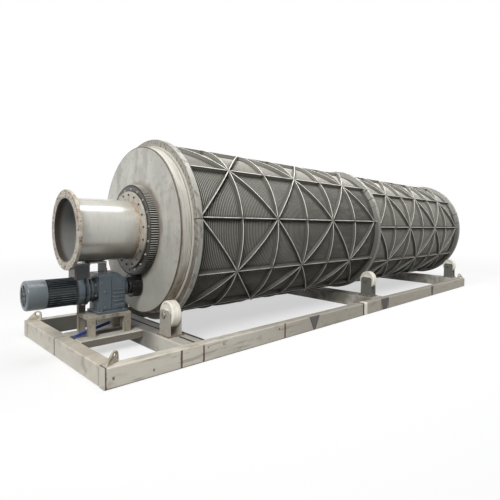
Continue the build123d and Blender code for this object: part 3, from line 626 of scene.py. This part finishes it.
for side in (-1, 1):
    inner_y, outer_y = sorted((side * (HALF_WIDTH - 0.004), side * (HALF_WIDTH + 0.009)))
    casting.append(block((box_low.x + 0.002, inner_y, box_low.z + 0.01), (SPLIT_X, outer_y, 0.742), 0.004))
    for z in (0.497, 0.536, 0.575, 0.614):
        casting.append(block((SPLIT_X + 0.012, inner_y, z), (box_high.x - 0.01, outer_y, z + 0.014), 0.003))
    casting.append(block((SPLIT_X + 0.01, inner_y, 0.432), (box_high.x - 0.006, outer_y, 0.47), 0.004))
mesh_piece("gearbox_casting_ribs", casting, enamel, slot="drive_paint")
for x, radius, first, count, side in SCREW_CIRCLES:
    fittings += studs(on_circle(x, radius, first, count, DRIVE_Z), (side, 0, 0), HEXAGON_HEAD, 6)
lid_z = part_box("terminal_box_lid")[1].z
lid_corners = [(x, y, lid_z) for x in LID_SCREWS_X for y in (-LID_SCREW_Y, LID_SCREW_Y)]
fittings += studs(lid_corners, (0, 0, 1), [(-0.002, 0.0065), (0.004, 0.0065), (0.005, 0.005)])
for side in (-1, 1):
    places = [(x, side * (HALF_WIDTH + 0.008), z) for x, z in PLUGS]
    fittings += studs(places, (0, side, 0), PLUG_HEAD, 6)
eye_angle = np.arange(10) * math.pi / 5
eye = np.stack([EYE_X + EYE_THICKNESS * np.cos(eye_angle), EYE_RADIUS + EYE_THICKNESS * np.sin(eye_angle)], 1)
fittings.append(turned(eye, 24, box_high.z + 0.022))
fittings += studs([(EYE_X, 0, box_high.z)], (0, 0, 1), [(-0.01, 0.016), (0.003, 0.016), (0.005, 0.01)], 16)
mesh_piece("gearbox_screws_and_plugs", fittings, pale_coat, slot="drive_paint")
nut_low, nut_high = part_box("gearbox_foot_bolts")
NUT_HALF, WASHER = 0.012, [(-0.001, 0.017), (0.0025, 0.017)]
nut_places = [(x, y, nut_low.z) for x in (nut_low.x + NUT_HALF, nut_high.x - NUT_HALF)
              for y in (nut_low.y + NUT_HALF, nut_high.y - NUT_HALF)]
mesh_piece("foot_bolt_washers", studs(nut_places, (0, 0, 1), WASHER, 20), pin_steel, slot="bolt_steel")

# A rest under the feed pipe stands on the gearbox: a flame-cut plate across it with raw brown edges, and
# a bright flat on top that reaches forward to the terminal box's lid.
rest_plate = Finish("pipe_rest_steel", (0.036, 0.04, 0.044), 0.5)
rest_plate.fade("Y", -0.045, -0.075, (0.105, 0.055, 0.042), 0.85)
rest_plate.fade("facing Y", -0.4, -0.8, (0.21, 0.115, 0.075), 0.95)
rest_plate.fade("Z", 0.896, 0.9, (0.72, 0.72, 0.7))
rest_top = AXIS_Z - 0.317
rest = [block((FRONT + 0.385, -0.098, box_high.z - 0.02), (FRONT + 0.397, 0.098, rest_top - 0.014), 0.002),
        block((FRONT + 0.256, -0.088, rest_top - 0.016), (FRONT + 0.404, 0.088, rest_top), 0.003)]
mesh_piece("pipe_rest", rest, rest_plate)

# The slewing bearing: a greased dark outer ring with teeth, screwed to the drum's head, turns on rolling
# elements round a fixed inner ring, which carries the pipe's mounting flange. The pinion drives it from
# below. Socket cap screws stand in two circles, one in each ring.
GEAR_ROOT, TOOTH_FLANK, TOOTH_TIP, SEAM_RADIUS = 0.464, 0.4825, 0.4865, 0.423
SCREWS, FIRST_SCREW, OUTER_SCREWS, INNER_SCREWS, HUB_SCREWS = 18, 74, 0.436, 0.375, 0.06
CAP_SCREW = [(-0.004, 0.011), (0.007, 0.011), (0.0085, 0.0097), (0.0085, 0.006), (0.003, 0.0058)]
gear = Finish("oiled_gear_steel", (0.115, 0.11, 0.102), 0.42, 0.2, 0.4)
gear.dirty(28, 0.42, 0.66, (0.055, 0.05, 0.045), 0.8)
# The teeth are painted near black, as shade in the gaps between them, and their tips light, as painted
# highlights.
gear.fade("radius", GEAR_ROOT, GEAR_ROOT + 0.004, (0.03, 0.027, 0.025), 0.9)
gear.fade("radius", TOOTH_FLANK, TOOTH_TIP, (0.66, 0.64, 0.58), 0.9)
# Painted shade: the gear ring darkens towards the bottom.
gear.fade("Z", AXIS_Z - 0.05, AXIS_Z - 0.36, (0.035, 0.033, 0.03), 0.85)
gear.fade("radius", SEAM_RADIUS, SEAM_RADIUS - 0.004, (0.03, 0.027, 0.025), 0.9)
pinion = Finish("greased_pinion_steel", (0.02, 0.019, 0.019), 0.35, 0.3, 0.5)
pinion.dirty(40, 0.5, 0.66, (0.13, 0.12, 0.11), 0.6)
bright_screw = Finish("cap_screw_steel", (0.52, 0.5, 0.46), 0.38, 0.2)
bright_screw.dirty(45, 0.5, 0.66, (0.12, 0.1, 0.08), 0.75)
black_screw = Finish("black_cap_screw_steel", (0.045, 0.038, 0.033), 0.45)
soften(gear, 0.0012, "slewing_gear_ring", "gear_seat_ring", "slewing_inner_ring")
soften(pinion, 0.001, "drive_pinion", "pinion_collar", "output_shaft")
outer_screws = on_circle(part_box("slewing_gear_ring")[0].x, OUTER_SCREWS, FIRST_SCREW, SCREWS)
mesh_piece("gear_ring_screws", studs(outer_screws, (-1, 0, 0), CAP_SCREW), bright_screw, ["gear_ring_bolts"],
           "drum", "bolt_steel")
inner_screws = on_circle(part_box("pipe_mounting_flange")[0].x, INNER_SCREWS, FIRST_SCREW, SCREWS)
mesh_piece("mounting_flange_screws", studs(inner_screws, (-1, 0, 0), CAP_SCREW), black_screw,
           ["mounting_flange_bolts"], slot="bolt_steel")
hub_screws = on_circle(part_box("pinion_collar")[0].x, HUB_SCREWS, 30, 6, DRIVE_Z)
mesh_piece("pinion_hub_screws", studs(hub_screws, (-1, 0, 0), HEXAGON_HEAD, 6), pinion, (), "pinion",
           "pinion_steel")

# The feed pipe is rolled from stainless sheet and welded between a drilled pipe flange and the mounting
# flange. Brushed bands run round it, the welds have left straw and brown heat tint, and the drilled
# flange is grubby and rust-stained where the last pipeline was bolted on.
PIPE_RADIUS, PIPE_INNER, SEAM_TURN, SEAM_SIZE = 0.315, 0.307, 112, 0.0022
pipe_low, pipe_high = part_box("inlet_pipe")
flange_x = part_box("inlet_flange")[1].x
mount_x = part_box("pipe_mounting_flange")[0].x
pipe = Finish("pipe_stainless", (0.56, 0.55, 0.505), 0.22, 0.3, 0.8)
pipe.dirty(4, 0.42, 0.75, (0.46, 0.43, 0.38), 0.7, (1, 1, 0.5))
pipe.dirty(90, 0.5, 0.72, (0.4, 0.375, 0.33), 0.45, (1, 0.1, 0.1))
for x, reach in ((flange_x, 0.03), (mount_x, 0.05)):
    pipe.line("X", x, 0.006, (0.4, 0.22, 0.1), 0.75, pipe.ramp(pipe.noise(12), 0.35, 0.6), fade=reach)
# The inside of the pipe is painted a darker grey, as shade, and near the mouth darker and browner still.
pipe_inside = pipe.ramp("radius", 0.3135, 0.311)
pipe.tint(pipe_inside, (0.26, 0.265, 0.255), 0.8)
pipe.fade("X", pipe_low.x + 0.08, pipe_low.x + 0.03, (0.075, 0.055, 0.045), 0.9, pipe_inside)
pipe_outside = pipe.ramp("radius", 0.3135, 0.3145)
# Painted shade: the outside of the pipe darkens towards the bottom.
pipe.fade("Z", AXIS_Z - 0.02, AXIS_Z - 0.3, (0.2, 0.185, 0.155), 0.7, pipe_outside)
pipe.gloss(12, 4, 0.14, 0.3)
pipe_wall = [(pipe_low.x, PIPE_INNER), (pipe_high.x, PIPE_INNER), (pipe_high.x, PIPE_RADIUS),
             (pipe_low.x, PIPE_RADIUS)]
seam = math.radians(SEAM_TURN)
seam_place = (PIPE_RADIUS * math.cos(seam), AXIS_Z + PIPE_RADIUS * math.sin(seam))
seam_bead = weld_bead((flange_x, *seam_place), (mount_x, *seam_place), SEAM_SIZE)
mesh_piece("rolled_inlet_pipe", [turned(pipe_wall, 144), seam_bead], pipe, ["inlet_pipe"])


def ring_bead(x, radius, size, segments=240):
    """A weld bead round the drum's axis, rippled by a fifth of its size along the circle."""
    angle = np.linspace(0, 2 * np.pi, segments, endpoint=False)
    thick = size * (1 + 0.2 * np.cos(angle * segments / 3))
    turn = np.linspace(0, 2 * np.pi, 6, endpoint=False)[:, None]
    points = around(x + thick * np.cos(turn), radius + thick * np.sin(turn), angle)
    return points.reshape(-1, 3), grid_faces(6, segments)


pipe_beads = [ring_bead(flange_x, PIPE_RADIUS, 0.006), ring_bead(mount_x, PIPE_RADIUS, 0.007)]
mesh_piece("pipe_welds", pipe_beads, weld, smooth_angle=60)
flange = Finish("flange_stainless", (0.6, 0.555, 0.48), 0.5, 0.1, 0.4)
flange.dirty(11, 0.42, 0.62, (0.36, 0.28, 0.2), 0.8)
flange.dirty(30, 0.55, 0.66, (0.16, 0.09, 0.055), 0.8)
flange.fade("radius", 0.322, 0.315, (0.16, 0.08, 0.05), 0.85)
soften(flange, 0.0025, "inlet_flange")
mount = Finish("mounting_flange_stainless", (0.51, 0.49, 0.435), 0.45, 0.1, 0.4)
mount.dirty(18, 0.45, 0.7, (0.36, 0.29, 0.21), 0.65)
mount.dirty(50, 0.58, 0.72, (0.13, 0.09, 0.06), 0.6)
# Painted shade: the mounting flange darkens towards the bottom.
mount.fade("Z", AXIS_Z - 0.08, AXIS_Z - 0.24, (0.095, 0.09, 0.08), 0.85)
mount.fade("radius", 0.34, 0.326, (0.36, 0.215, 0.1), 0.65, mount.ramp(mount.noise(9), 0.35, 0.55))
soften(mount, 0.002, "pipe_mounting_flange")


# The drum's head: a flat stainless plate on a short rolled shell, then a wide ring with a thin lip. Two
# more plate rings of the same size carry the drum on the middle and tail rollers. Their rims are turned
# bright, their sides are grey, and dark joints cross them.
def drum_finish(name, colour):
    """Rolled stainless with wide mottles, drips and fine scratches."""
    steel = Finish(name, colour, 0.46, 0.12, 0.35)
    steel.dirty(1.7, 0.4, 0.7, shaded(colour, 0.74), 0.75)
    steel.dirty(7, 0.52, 0.74, shaded(colour, 0.6), 0.45, (1, 1, 0.35))
    steel.dirty(36, 0.62, 0.74, (0.24, 0.19, 0.15), 0.45)
    steel.gloss(9, 4, 0.36, 0.56)
    return steel


HEAD_RADIUS, HEAD_INNER, HEAD_HOLE, RING_RADIUS, BASKET_INNER = 0.903, 0.889, 0.33, 1, 0.891
DRUM = ("drum", "drum_steel")
plate_low, plate_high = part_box("head_plate")
head = drum_finish("head_plate_steel", (0.7, 0.69, 0.625))
uneven = head.work("MULTIPLY", head.work("SUBTRACT", head.noise(7, 5), 0.5), 0.12)
head.fade(head.work("ADD", "radius", uneven), 0.565, 0.5, (0.2, 0.13, 0.095), 0.65)
head.dirty(3.2, 0.5, 0.66, (0.44, 0.425, 0.38), 0.7, (1, 1, 0.45))
head.dirty(13, 0.52, 0.7, (0.38, 0.36, 0.32), 0.5)
head.dirty(45, 0.6, 0.7, (0.28, 0.25, 0.22), 0.5)
# Painted shade: the head plate darkens towards the bottom.
head.fade("Z", AXIS_Z + 0.25, AXIS_Z - 0.75, (0.4, 0.39, 0.34), 0.85)
head.fade("radius", 0.892, 0.895, (0.11, 0.075, 0.055), 0.95)
disc_profile = bevelled(plate_low.x, plate_high.x, HEAD_HOLE, HEAD_RADIUS, 0.003)
mesh_piece("head_disc", [turned(disc_profile, 192)], head, ["head_plate"], *DRUM)

shell_low, shell_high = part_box("head_shell")
shell = drum_finish("head_shell_steel", (0.72, 0.7, 0.63))
# Darker and browner towards the bottom: painted shade together with brown staining, and the stains below are
# laid only there.
low_down = shell.ramp("Z", AXIS_Z - 0.15, AXIS_Z - 0.65)
shell.tint(low_down, (0.36, 0.31, 0.25), 0.7)
shell.fade(shell.noise(9, 5, (1, 0.5, 0.5)), 0.42, 0.6, (0.17, 0.105, 0.07), 0.8, low_down)
shell.fade(shell.noise(60, 3, (1.6, 0.06, 0.06)), 0.52, 0.66, (0.34, 0.31, 0.26), 0.6)
shell.line("X", shell_low.x, 0.003, (0.13, 0.085, 0.06), 0.9, fade=0.003)
shell.line("X", shell_high.x, 0.01, (0.09, 0.065, 0.05), 0.9, fade=0.005)
shell_profile = bevelled(shell_low.x, shell_high.x, HEAD_INNER, HEAD_RADIUS, 0.001)
mesh_piece("head_rolled_shell", [turned(shell_profile, 192)], shell, ["head_shell"], *DRUM)


def ring_finish(name, colour, side_colour, rust_share, low_x, high_x, marks):
    """Bright outside with a rolled track, dark rusty sides with painted shade towards the bottom, and cross
    marks at the angles in degrees.
    """
    steel = drum_finish(name, colour)
    steel.line("X", (low_x + high_x) / 2, 0.038, shaded(colour, 1.15), 0.6, fade=0.01)
    steel.dirty(12, 0.46, 0.64, (0.15, 0.13, 0.105), 0.65, (2.5, 1, 1))
    side = steel.ramp("radius", RING_RADIUS - 0.004, RING_RADIUS - 0.012)
    steel.tint(side, side_colour, 0.95)
    # Painted shade: the sides darken towards the bottom.
    steel.fade("Z", AXIS_Z + 0.3, AXIS_Z - 0.6, (0.12, 0.108, 0.09), 0.9, side)
    steel.fade(steel.noise(26), 0.5, 0.64, (0.13, 0.07, 0.045), rust_share, side)
    for degrees, half_width in marks:
        steel.line("turn", math.radians(degrees), half_width, (0.1, 0.075, 0.055), 0.85, fade=0.002)
    return steel


def rim(low_x, high_x):
    """The chamfered outer edge of a ring, from its rear face to its front face."""
    return [(high_x, RING_RADIUS - 0.003), (high_x - 0.003, RING_RADIUS),
            (low_x + 0.003, RING_RADIUS), (low_x, RING_RADIUS - 0.003)]


LIP_DEPTH, LIP_RADIUS, RING_PLATE, COLLAR_RADIUS = 0.007, 0.926, 0.06, 0.914
low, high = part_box("head_ring")
face = low.x + LIP_DEPTH
ring = ring_finish("head_ring_steel", (0.42, 0.415, 0.375), (0.36, 0.35, 0.31), 0.75,
                   low.x, high.x, [(172.2, 0.007)])
ring.line("radius", 0.9145, 0.0125, (0.62, 0.59, 0.53), 0.9, fade=0.001)
ring.line("X", high.x, 0.004, (0.7, 0.68, 0.62), 0.7, fade=0.002)
profile = [(face, HEAD_INNER), (high.x, HEAD_INNER), *rim(face, high.x), (face, LIP_RADIUS),
           (low.x + 0.001, LIP_RADIUS), (low.x, LIP_RADIUS - 0.001), (low.x, HEAD_RADIUS + 0.0002),
           (face, HEAD_RADIUS + 0.0002)]
mesh_piece("head_wide_ring", [turned(profile, 192)], ring, ["head_ring"], *DRUM)
for name, marks in (("mid", [(138.3, 0.009), (148.3, 0.008), (156.7, 0.004)]),
                    ("tail", [(158.9, 0.009), (170.7, 0.008)])):
    low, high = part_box(name + "_riding_ring")
    face = high.x - RING_PLATE
    ring = ring_finish(name + "_ring_steel", (0.5, 0.49, 0.45), (0.44, 0.435, 0.395), 0.15,
                       face, high.x, marks)
    # Painted shade: the mid and tail rings darken from near the top down to the axis.
    ring.fade("Z", AXIS_Z + 0.75, AXIS_Z, (0.15, 0.148, 0.132), 0.75)
    # Painted shade in the corner: a near-black band where the ring's face meets the basket.
    ring.fade("radius", COLLAR_RADIUS + 0.008, COLLAR_RADIUS + 0.002, (0.045, 0.042, 0.036), 0.9)
    profile = [(low.x, BASKET_INNER), (high.x, BASKET_INNER), *rim(face, high.x), (face, COLLAR_RADIUS),
               (low.x, COLLAR_RADIUS)]
    mesh_piece(name + "_ring_turned", [turned(profile, 192)], ring, [name + "_riding_ring"], *DRUM)
seam_weld = ring_bead(shell_low.x, HEAD_RADIUS - 0.001, 0.003, 360)
mesh_piece("head_seam_weld", [seam_weld], weld, (), *DRUM, 60)

# The screen baskets are wedge wire, gone dull brown-grey: round rods at a 21 mm pitch run round the
# outside, and fine wedge wires lie lengthwise inside them, welded at every crossing.
BAYS, BARS = 6, 10
HOOP_PITCH = (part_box("front_screen_basket")[1].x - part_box("front_screen_basket")[0].x) / BAYS
BASKET_RADIUS, ROD_BASE, WIRE_OUTER, ROD_PITCH, WIRE_PITCH = 0.915, 0.9045, 0.9012, 0.021, 0.006
ROD_SHOULDER = BASKET_RADIUS - 0.0032
CLOCKING = {"front": -9, "rear": -3.6}


def lattice_distance(finish, section):
    """Distances in metres from the nearest hoop, lengthwise bar and diagonal of a section's lattice.

    With u along the section in bays and v round it in bays, both folded to run 0, 1, 0 over two bays, the
    hoops lie where u is whole, the bars where v is whole and the diagonals where u + v = 1.
    """
    work, bar_pitch, diagonal_scale = finish.work, 0.575, 0.377
    from_start = work("SUBTRACT", "X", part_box(section + "_screen_basket")[0].x)
    clocked = work("SUBTRACT", "turn", math.radians(CLOCKING[section]) - 4 * math.pi)
    u = work("PINGPONG", work("DIVIDE", from_start, HOOP_PITCH), 1)
    v = work("PINGPONG", work("DIVIDE", clocked, 2 * math.pi / BARS), 1)
    off_diagonal = work("ABSOLUTE", work("SUBTRACT", work("ADD", u, v), 1))
    folded = ((work("PINGPONG", u, 0.5), HOOP_PITCH), (work("PINGPONG", v, 0.5), bar_pitch),
              (off_diagonal, diagonal_scale))
    return [work("MULTIPLY", value, scale) for value, scale in folded]


for section in CLOCKING:
    low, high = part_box(section + "_screen_basket")
    screen = Finish(section + "_screen_steel", (0.26, 0.253, 0.223), 0.48, 0.12, 0.3)
    screen.dirty(1.6, 0.4, 0.68, (0.195, 0.187, 0.165), 0.8)
    if section == "front":
        # Painted shade: the front basket darkens towards the mid ring.
        screen.fade("X", FRONT + 1.6, FRONT + 3.7, (0.085, 0.082, 0.071), 0.8)
    # Painted light: the basket is lighter towards the top.
    screen.fade("Z", AXIS_Z + 0.5, AXIS_Z + 0.86, (0.46, 0.445, 0.4), 0.85)
    screen.dirty(14, 0.45, 0.7, (0.31, 0.295, 0.265), 0.35, (0.25, 1, 1))
    # Painted shadow: the screen darkens beside each hoop, bar and diagonal.
    for distance in lattice_distance(screen, section):
        screen.fade(distance, 0.05, 0.006, (0.085, 0.078, 0.068), 0.75)
    # Painted shade: the gaps between the rods are near black.
    screen.fade("radius", BASKET_RADIUS - 0.001, ROD_BASE, (0.035, 0.032, 0.027), 0.9)
    count = int((high.x - low.x) / ROD_PITCH)
    start = (low.x + high.x) / 2 + ROD_PITCH * (np.arange(count)[:, None] - count / 2)
    ridge = (start + np.array([0.0042, 0.006, 0.0105, 0.015, 0.0168])).ravel()
    radius = np.tile([ROD_BASE, ROD_SHOULDER, BASKET_RADIUS, ROD_SHOULDER, ROD_BASE], count)
    inside = [(low.x, WIRE_OUTER), (high.x, WIRE_OUTER), (high.x, ROD_BASE)]
    rods = np.concatenate([inside, np.stack([ridge, radius], 1)[::-1], [(low.x, ROD_BASE)]])
    mesh_piece(section + "_screen_rods", [turned(rods, 112)], screen, [section + "_screen_basket"], "drum",
               "screen_wire")
    wires = round(2 * math.pi * BASKET_INNER / WIRE_PITCH)
    angle = (2 * math.pi / wires * (np.arange(wires)[:, None] + np.array([0.02, 0.3, 0.98]))).ravel()
    inner_radius = np.tile([WIRE_OUTER - 0.003, BASKET_INNER, BASKET_INNER], wires)
    outer_radius = np.full(len(angle), WIRE_OUTER + 0.001)
    points = [around(x, radius, angle) for x, radius in ((low.x, outer_radius), (high.x, outer_radius),
                                                         (high.x, inner_radius), (low.x, inner_radius))]
    mesh_piece(section + "_wedge_wires", [(np.concatenate(points), grid_faces(4, len(angle)))],
               screen, (), "drum", "screen_wire", 20)

# A lattice of flat bars on edge stiffens each basket: ten along it, five hoops round it and a diagonal
# across every bay, fillet welded to the rods and to each other. The outer edges are painted light grey,
# the sides as dark as the screen, and brown weld stains mark the crossings.
RIB_DEPTH, RIB_HALF = 0.05, 0.005
RIB_RADIUS = BASKET_RADIUS + RIB_DEPTH
RIB_RIGHT = [(0.012, -0.003), (RIB_HALF + 0.001, 0.006), (RIB_HALF, RIB_DEPTH - 0.0015),
             (RIB_HALF - 0.0015, RIB_DEPTH)]
RIB_PROFILE = RIB_RIGHT + [(-a, h) for a, h in RIB_RIGHT[::-1]]


def bar_on_drum(x, angle):
    """A flat bar on edge along a line of points on the basket, each at x and an angle."""
    path, away = around(x, BASKET_RADIUS, angle), around(0, 1, angle, 0)
    across = np.cross(np.gradient(path, axis=0), away)
    across /= np.linalg.norm(across, axis=1)[:, None]
    return carried(RIB_PROFILE, path, across, away)


for section, ring_name in (("front", "mid_riding_ring"), ("rear", "tail_riding_ring")):
    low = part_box(section + "_screen_basket")[0]
    rib = Finish(section + "_rib_steel", (0.15, 0.146, 0.127), 0.5, 0.1, 0.25)
    rib.dirty(9, 0.45, 0.7, (0.1, 0.095, 0.08), 0.7)
    # Painted light: the ribs are lighter towards the top.
    rib.fade("Z", AXIS_Z + 0.45, AXIS_Z + 0.8, (0.3, 0.29, 0.26), 0.75)
    # Darker towards the foot: painted shade, with weld dirt.
    rib.fade("radius", BASKET_RADIUS + 0.022, BASKET_RADIUS, (0.09, 0.08, 0.07), 0.8)
    edge = rib.ramp("radius", RIB_RADIUS - 0.003, RIB_RADIUS - 0.001)
    rib.tint(edge, (0.84, 0.825, 0.765))
    rib.fade(rib.noise(8, 5), 0.48, 0.68, (0.42, 0.4, 0.35), 0.6, edge)
    hoop, bar = lattice_distance(rib, section)[:2]
    rib.fade(rib.work("ADD", hoop, bar), 0.06, 0.018, (0.13, 0.1, 0.08), 0.75)
    bars = math.radians(CLOCKING[section]) + 2 * math.pi / BARS * np.arange(BARS)
    ends = np.array([low.x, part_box(ring_name)[1].x - RING_PLATE])
    shapes = [bar_on_drum(ends, np.full(2, angle)) for angle in bars]
    mesh_piece(section + "_bars_along", shapes, rib, [section + "_long_bars"], *DRUM)
    hoop_loop = np.array([(a, BASKET_RADIUS + h) for a, h in RIB_PROFILE])
    shapes = [turned(hoop_loop + (low.x + k * HOOP_PITCH, 0), 144) for k in range(1, BAYS)]
    mesh_piece(section + "_rolled_hoops", shapes, rib, [section + "_hoops"], *DRUM)
    reach = RIB_RADIUS * math.sin(math.pi / BARS)
    share = np.linspace(-1, 1, 13)
    shapes = []
    for i in range(BARS):
        for k in range(BAYS):
            slant = -1 if (i + k) % 2 == 0 else 1
            x = low.x + (k + 0.5) * HOOP_PITCH + share * HOOP_PITCH / 2
            swing = np.arcsin(slant * reach * share / RIB_RADIUS)
            shapes.append(bar_on_drum(x, bars[i] + math.pi / BARS + swing))
    mesh_piece(section + "_diagonals", shapes, rib, [section + "_diagonal_braces"], *DRUM)


# Floor, light and camera: a pale studio floor that fades into a white backdrop, a soft overhead sky, one
# broad lamp from the camera's side, and the camera where the photograph was taken from.
def split_by_ray(tree, lighting, shown, end):
    """Ends a tree in one shader for camera, glossy and transmission rays and another that lights the rest."""
    rays = tree.nodes.new("ShaderNodeLightPath").outputs
    seen = rays["Is Camera Ray"]
    for kind in ("Is Glossy Ray", "Is Transmission Ray"):
        seen = add_node(tree, "Math", {0: seen, 1: rays[kind]}, operation="MAXIMUM")
    surface = add_node(tree, "MixShader", {0: seen, 1: lighting, 2: shown})
    tree.links.new(surface, tree.nodes[end].inputs["Surface"])


FLOOR_HALF, NEAR_FLOOR, FAR_FLOOR, NEAR_GLOW = 60, 2.5, 14, 0.58
floor_mesh = bpy.data.meshes.new("studio_floor")
floor_mesh.from_pydata([(-FLOOR_HALF, -FLOOR_HALF, 0), (FLOOR_HALF, -FLOOR_HALF, 0),
                        (FLOOR_HALF, FLOOR_HALF, 0), (-FLOOR_HALF, FLOOR_HALF, 0)], [], [(0, 1, 2, 3)])
studio_floor = placed("studio_floor", floor_mesh)
floor_paint = bpy.data.materials.new("floor_paint")
floor_paint.use_nodes = True
tree = floor_paint.node_tree
bounce = add_node(tree, "BsdfDiffuse", {"Color": (0.12, 0.12, 0.115, 1)})
white = add_node(tree, "BsdfDiffuse", {"Color": (0.96, 0.96, 0.96, 1)})
glow = add_node(tree, "Emission", {"Color": (1, 1, 1, 1)})
place = add_node(tree, "TexCoord", {}, "Object")
distance = add_node(tree, "VectorMath", {0: place}, "Value", operation="LENGTH")
whiter = add_node(tree, "MapRange", {"Value": distance, "From Min": NEAR_FLOOR, "From Max": FAR_FLOOR,
                                     "To Min": NEAR_GLOW, "To Max": 1}, interpolation_type="SMOOTHSTEP")
shown = add_node(tree, "MixShader", {0: whiter, 1: white, 2: glow})
split_by_ray(tree, bounce, shown, "Material Output")
floor_mesh.materials.append(floor_paint)

SKY_LOW, SKY_HIGH = 0.13, 0.28
world = bpy.data.worlds.new("studio")
bpy.context.scene.world = world
world.use_nodes = True
tree = world.node_tree
height = add_node(tree, "SeparateXYZ", {0: add_node(tree, "TexCoord", {}, "Generated")}, "Z")
brightness = add_node(tree, "MapRange", {"Value": height, "To Min": SKY_LOW, "To Max": SKY_HIGH})
sky = add_node(tree, "Background", {"Color": (0.97, 0.985, 1, 1), "Strength": brightness})
backdrop = add_node(tree, "Background", {"Color": (1, 1, 1, 1)})
split_by_ray(tree, sky, backdrop, "World Output")

LAMP_RISE, LAMP_TURN = 38, -48
lamp = placed("broad_lamp", bpy.data.lights.new("broad_lamp", "SUN"), energy=2.65, angle=math.radians(30))
lamp.rotation_euler = (math.radians(90 - LAMP_RISE), 0, math.radians(LAMP_TURN))
strip = placed("overhead_strip", bpy.data.lights.new("overhead_strip", "AREA"), shape="RECTANGLE", size=9,
               size_y=1.3, energy=190)
strip.location = (0, -0.5, 5.2)

YAW, PITCH, ROLL, CAMERA_PLACE = 0.90226, -0.03319, 0.01906, (-4.7058, -4.4962, 1.355)
FOCAL_PIXELS, CENTRE_X, CENTRE_Y, IMAGE, SENSOR = 394.75, 348.26, 235.8, 500, 36
camera = placed("photo_camera", bpy.data.cameras.new("photo_camera"), sensor_width=SENSOR, clip_end=300,
                lens=FOCAL_PIXELS / IMAGE * SENSOR, shift_x=(IMAGE / 2 - CENTRE_X) / IMAGE,
                shift_y=(CENTRE_Y - IMAGE / 2) / IMAGE)
camera.matrix_world = (Matrix.Translation(CAMERA_PLACE) @ Matrix.Rotation(-YAW, 4, "Z")
                       @ Matrix.Rotation(math.pi / 2 + PITCH, 4, "X") @ Matrix.Rotation(ROLL, 4, "Z"))
bpy.context.scene.camera = camera
bpy.context.scene.view_settings.view_transform = "Standard"
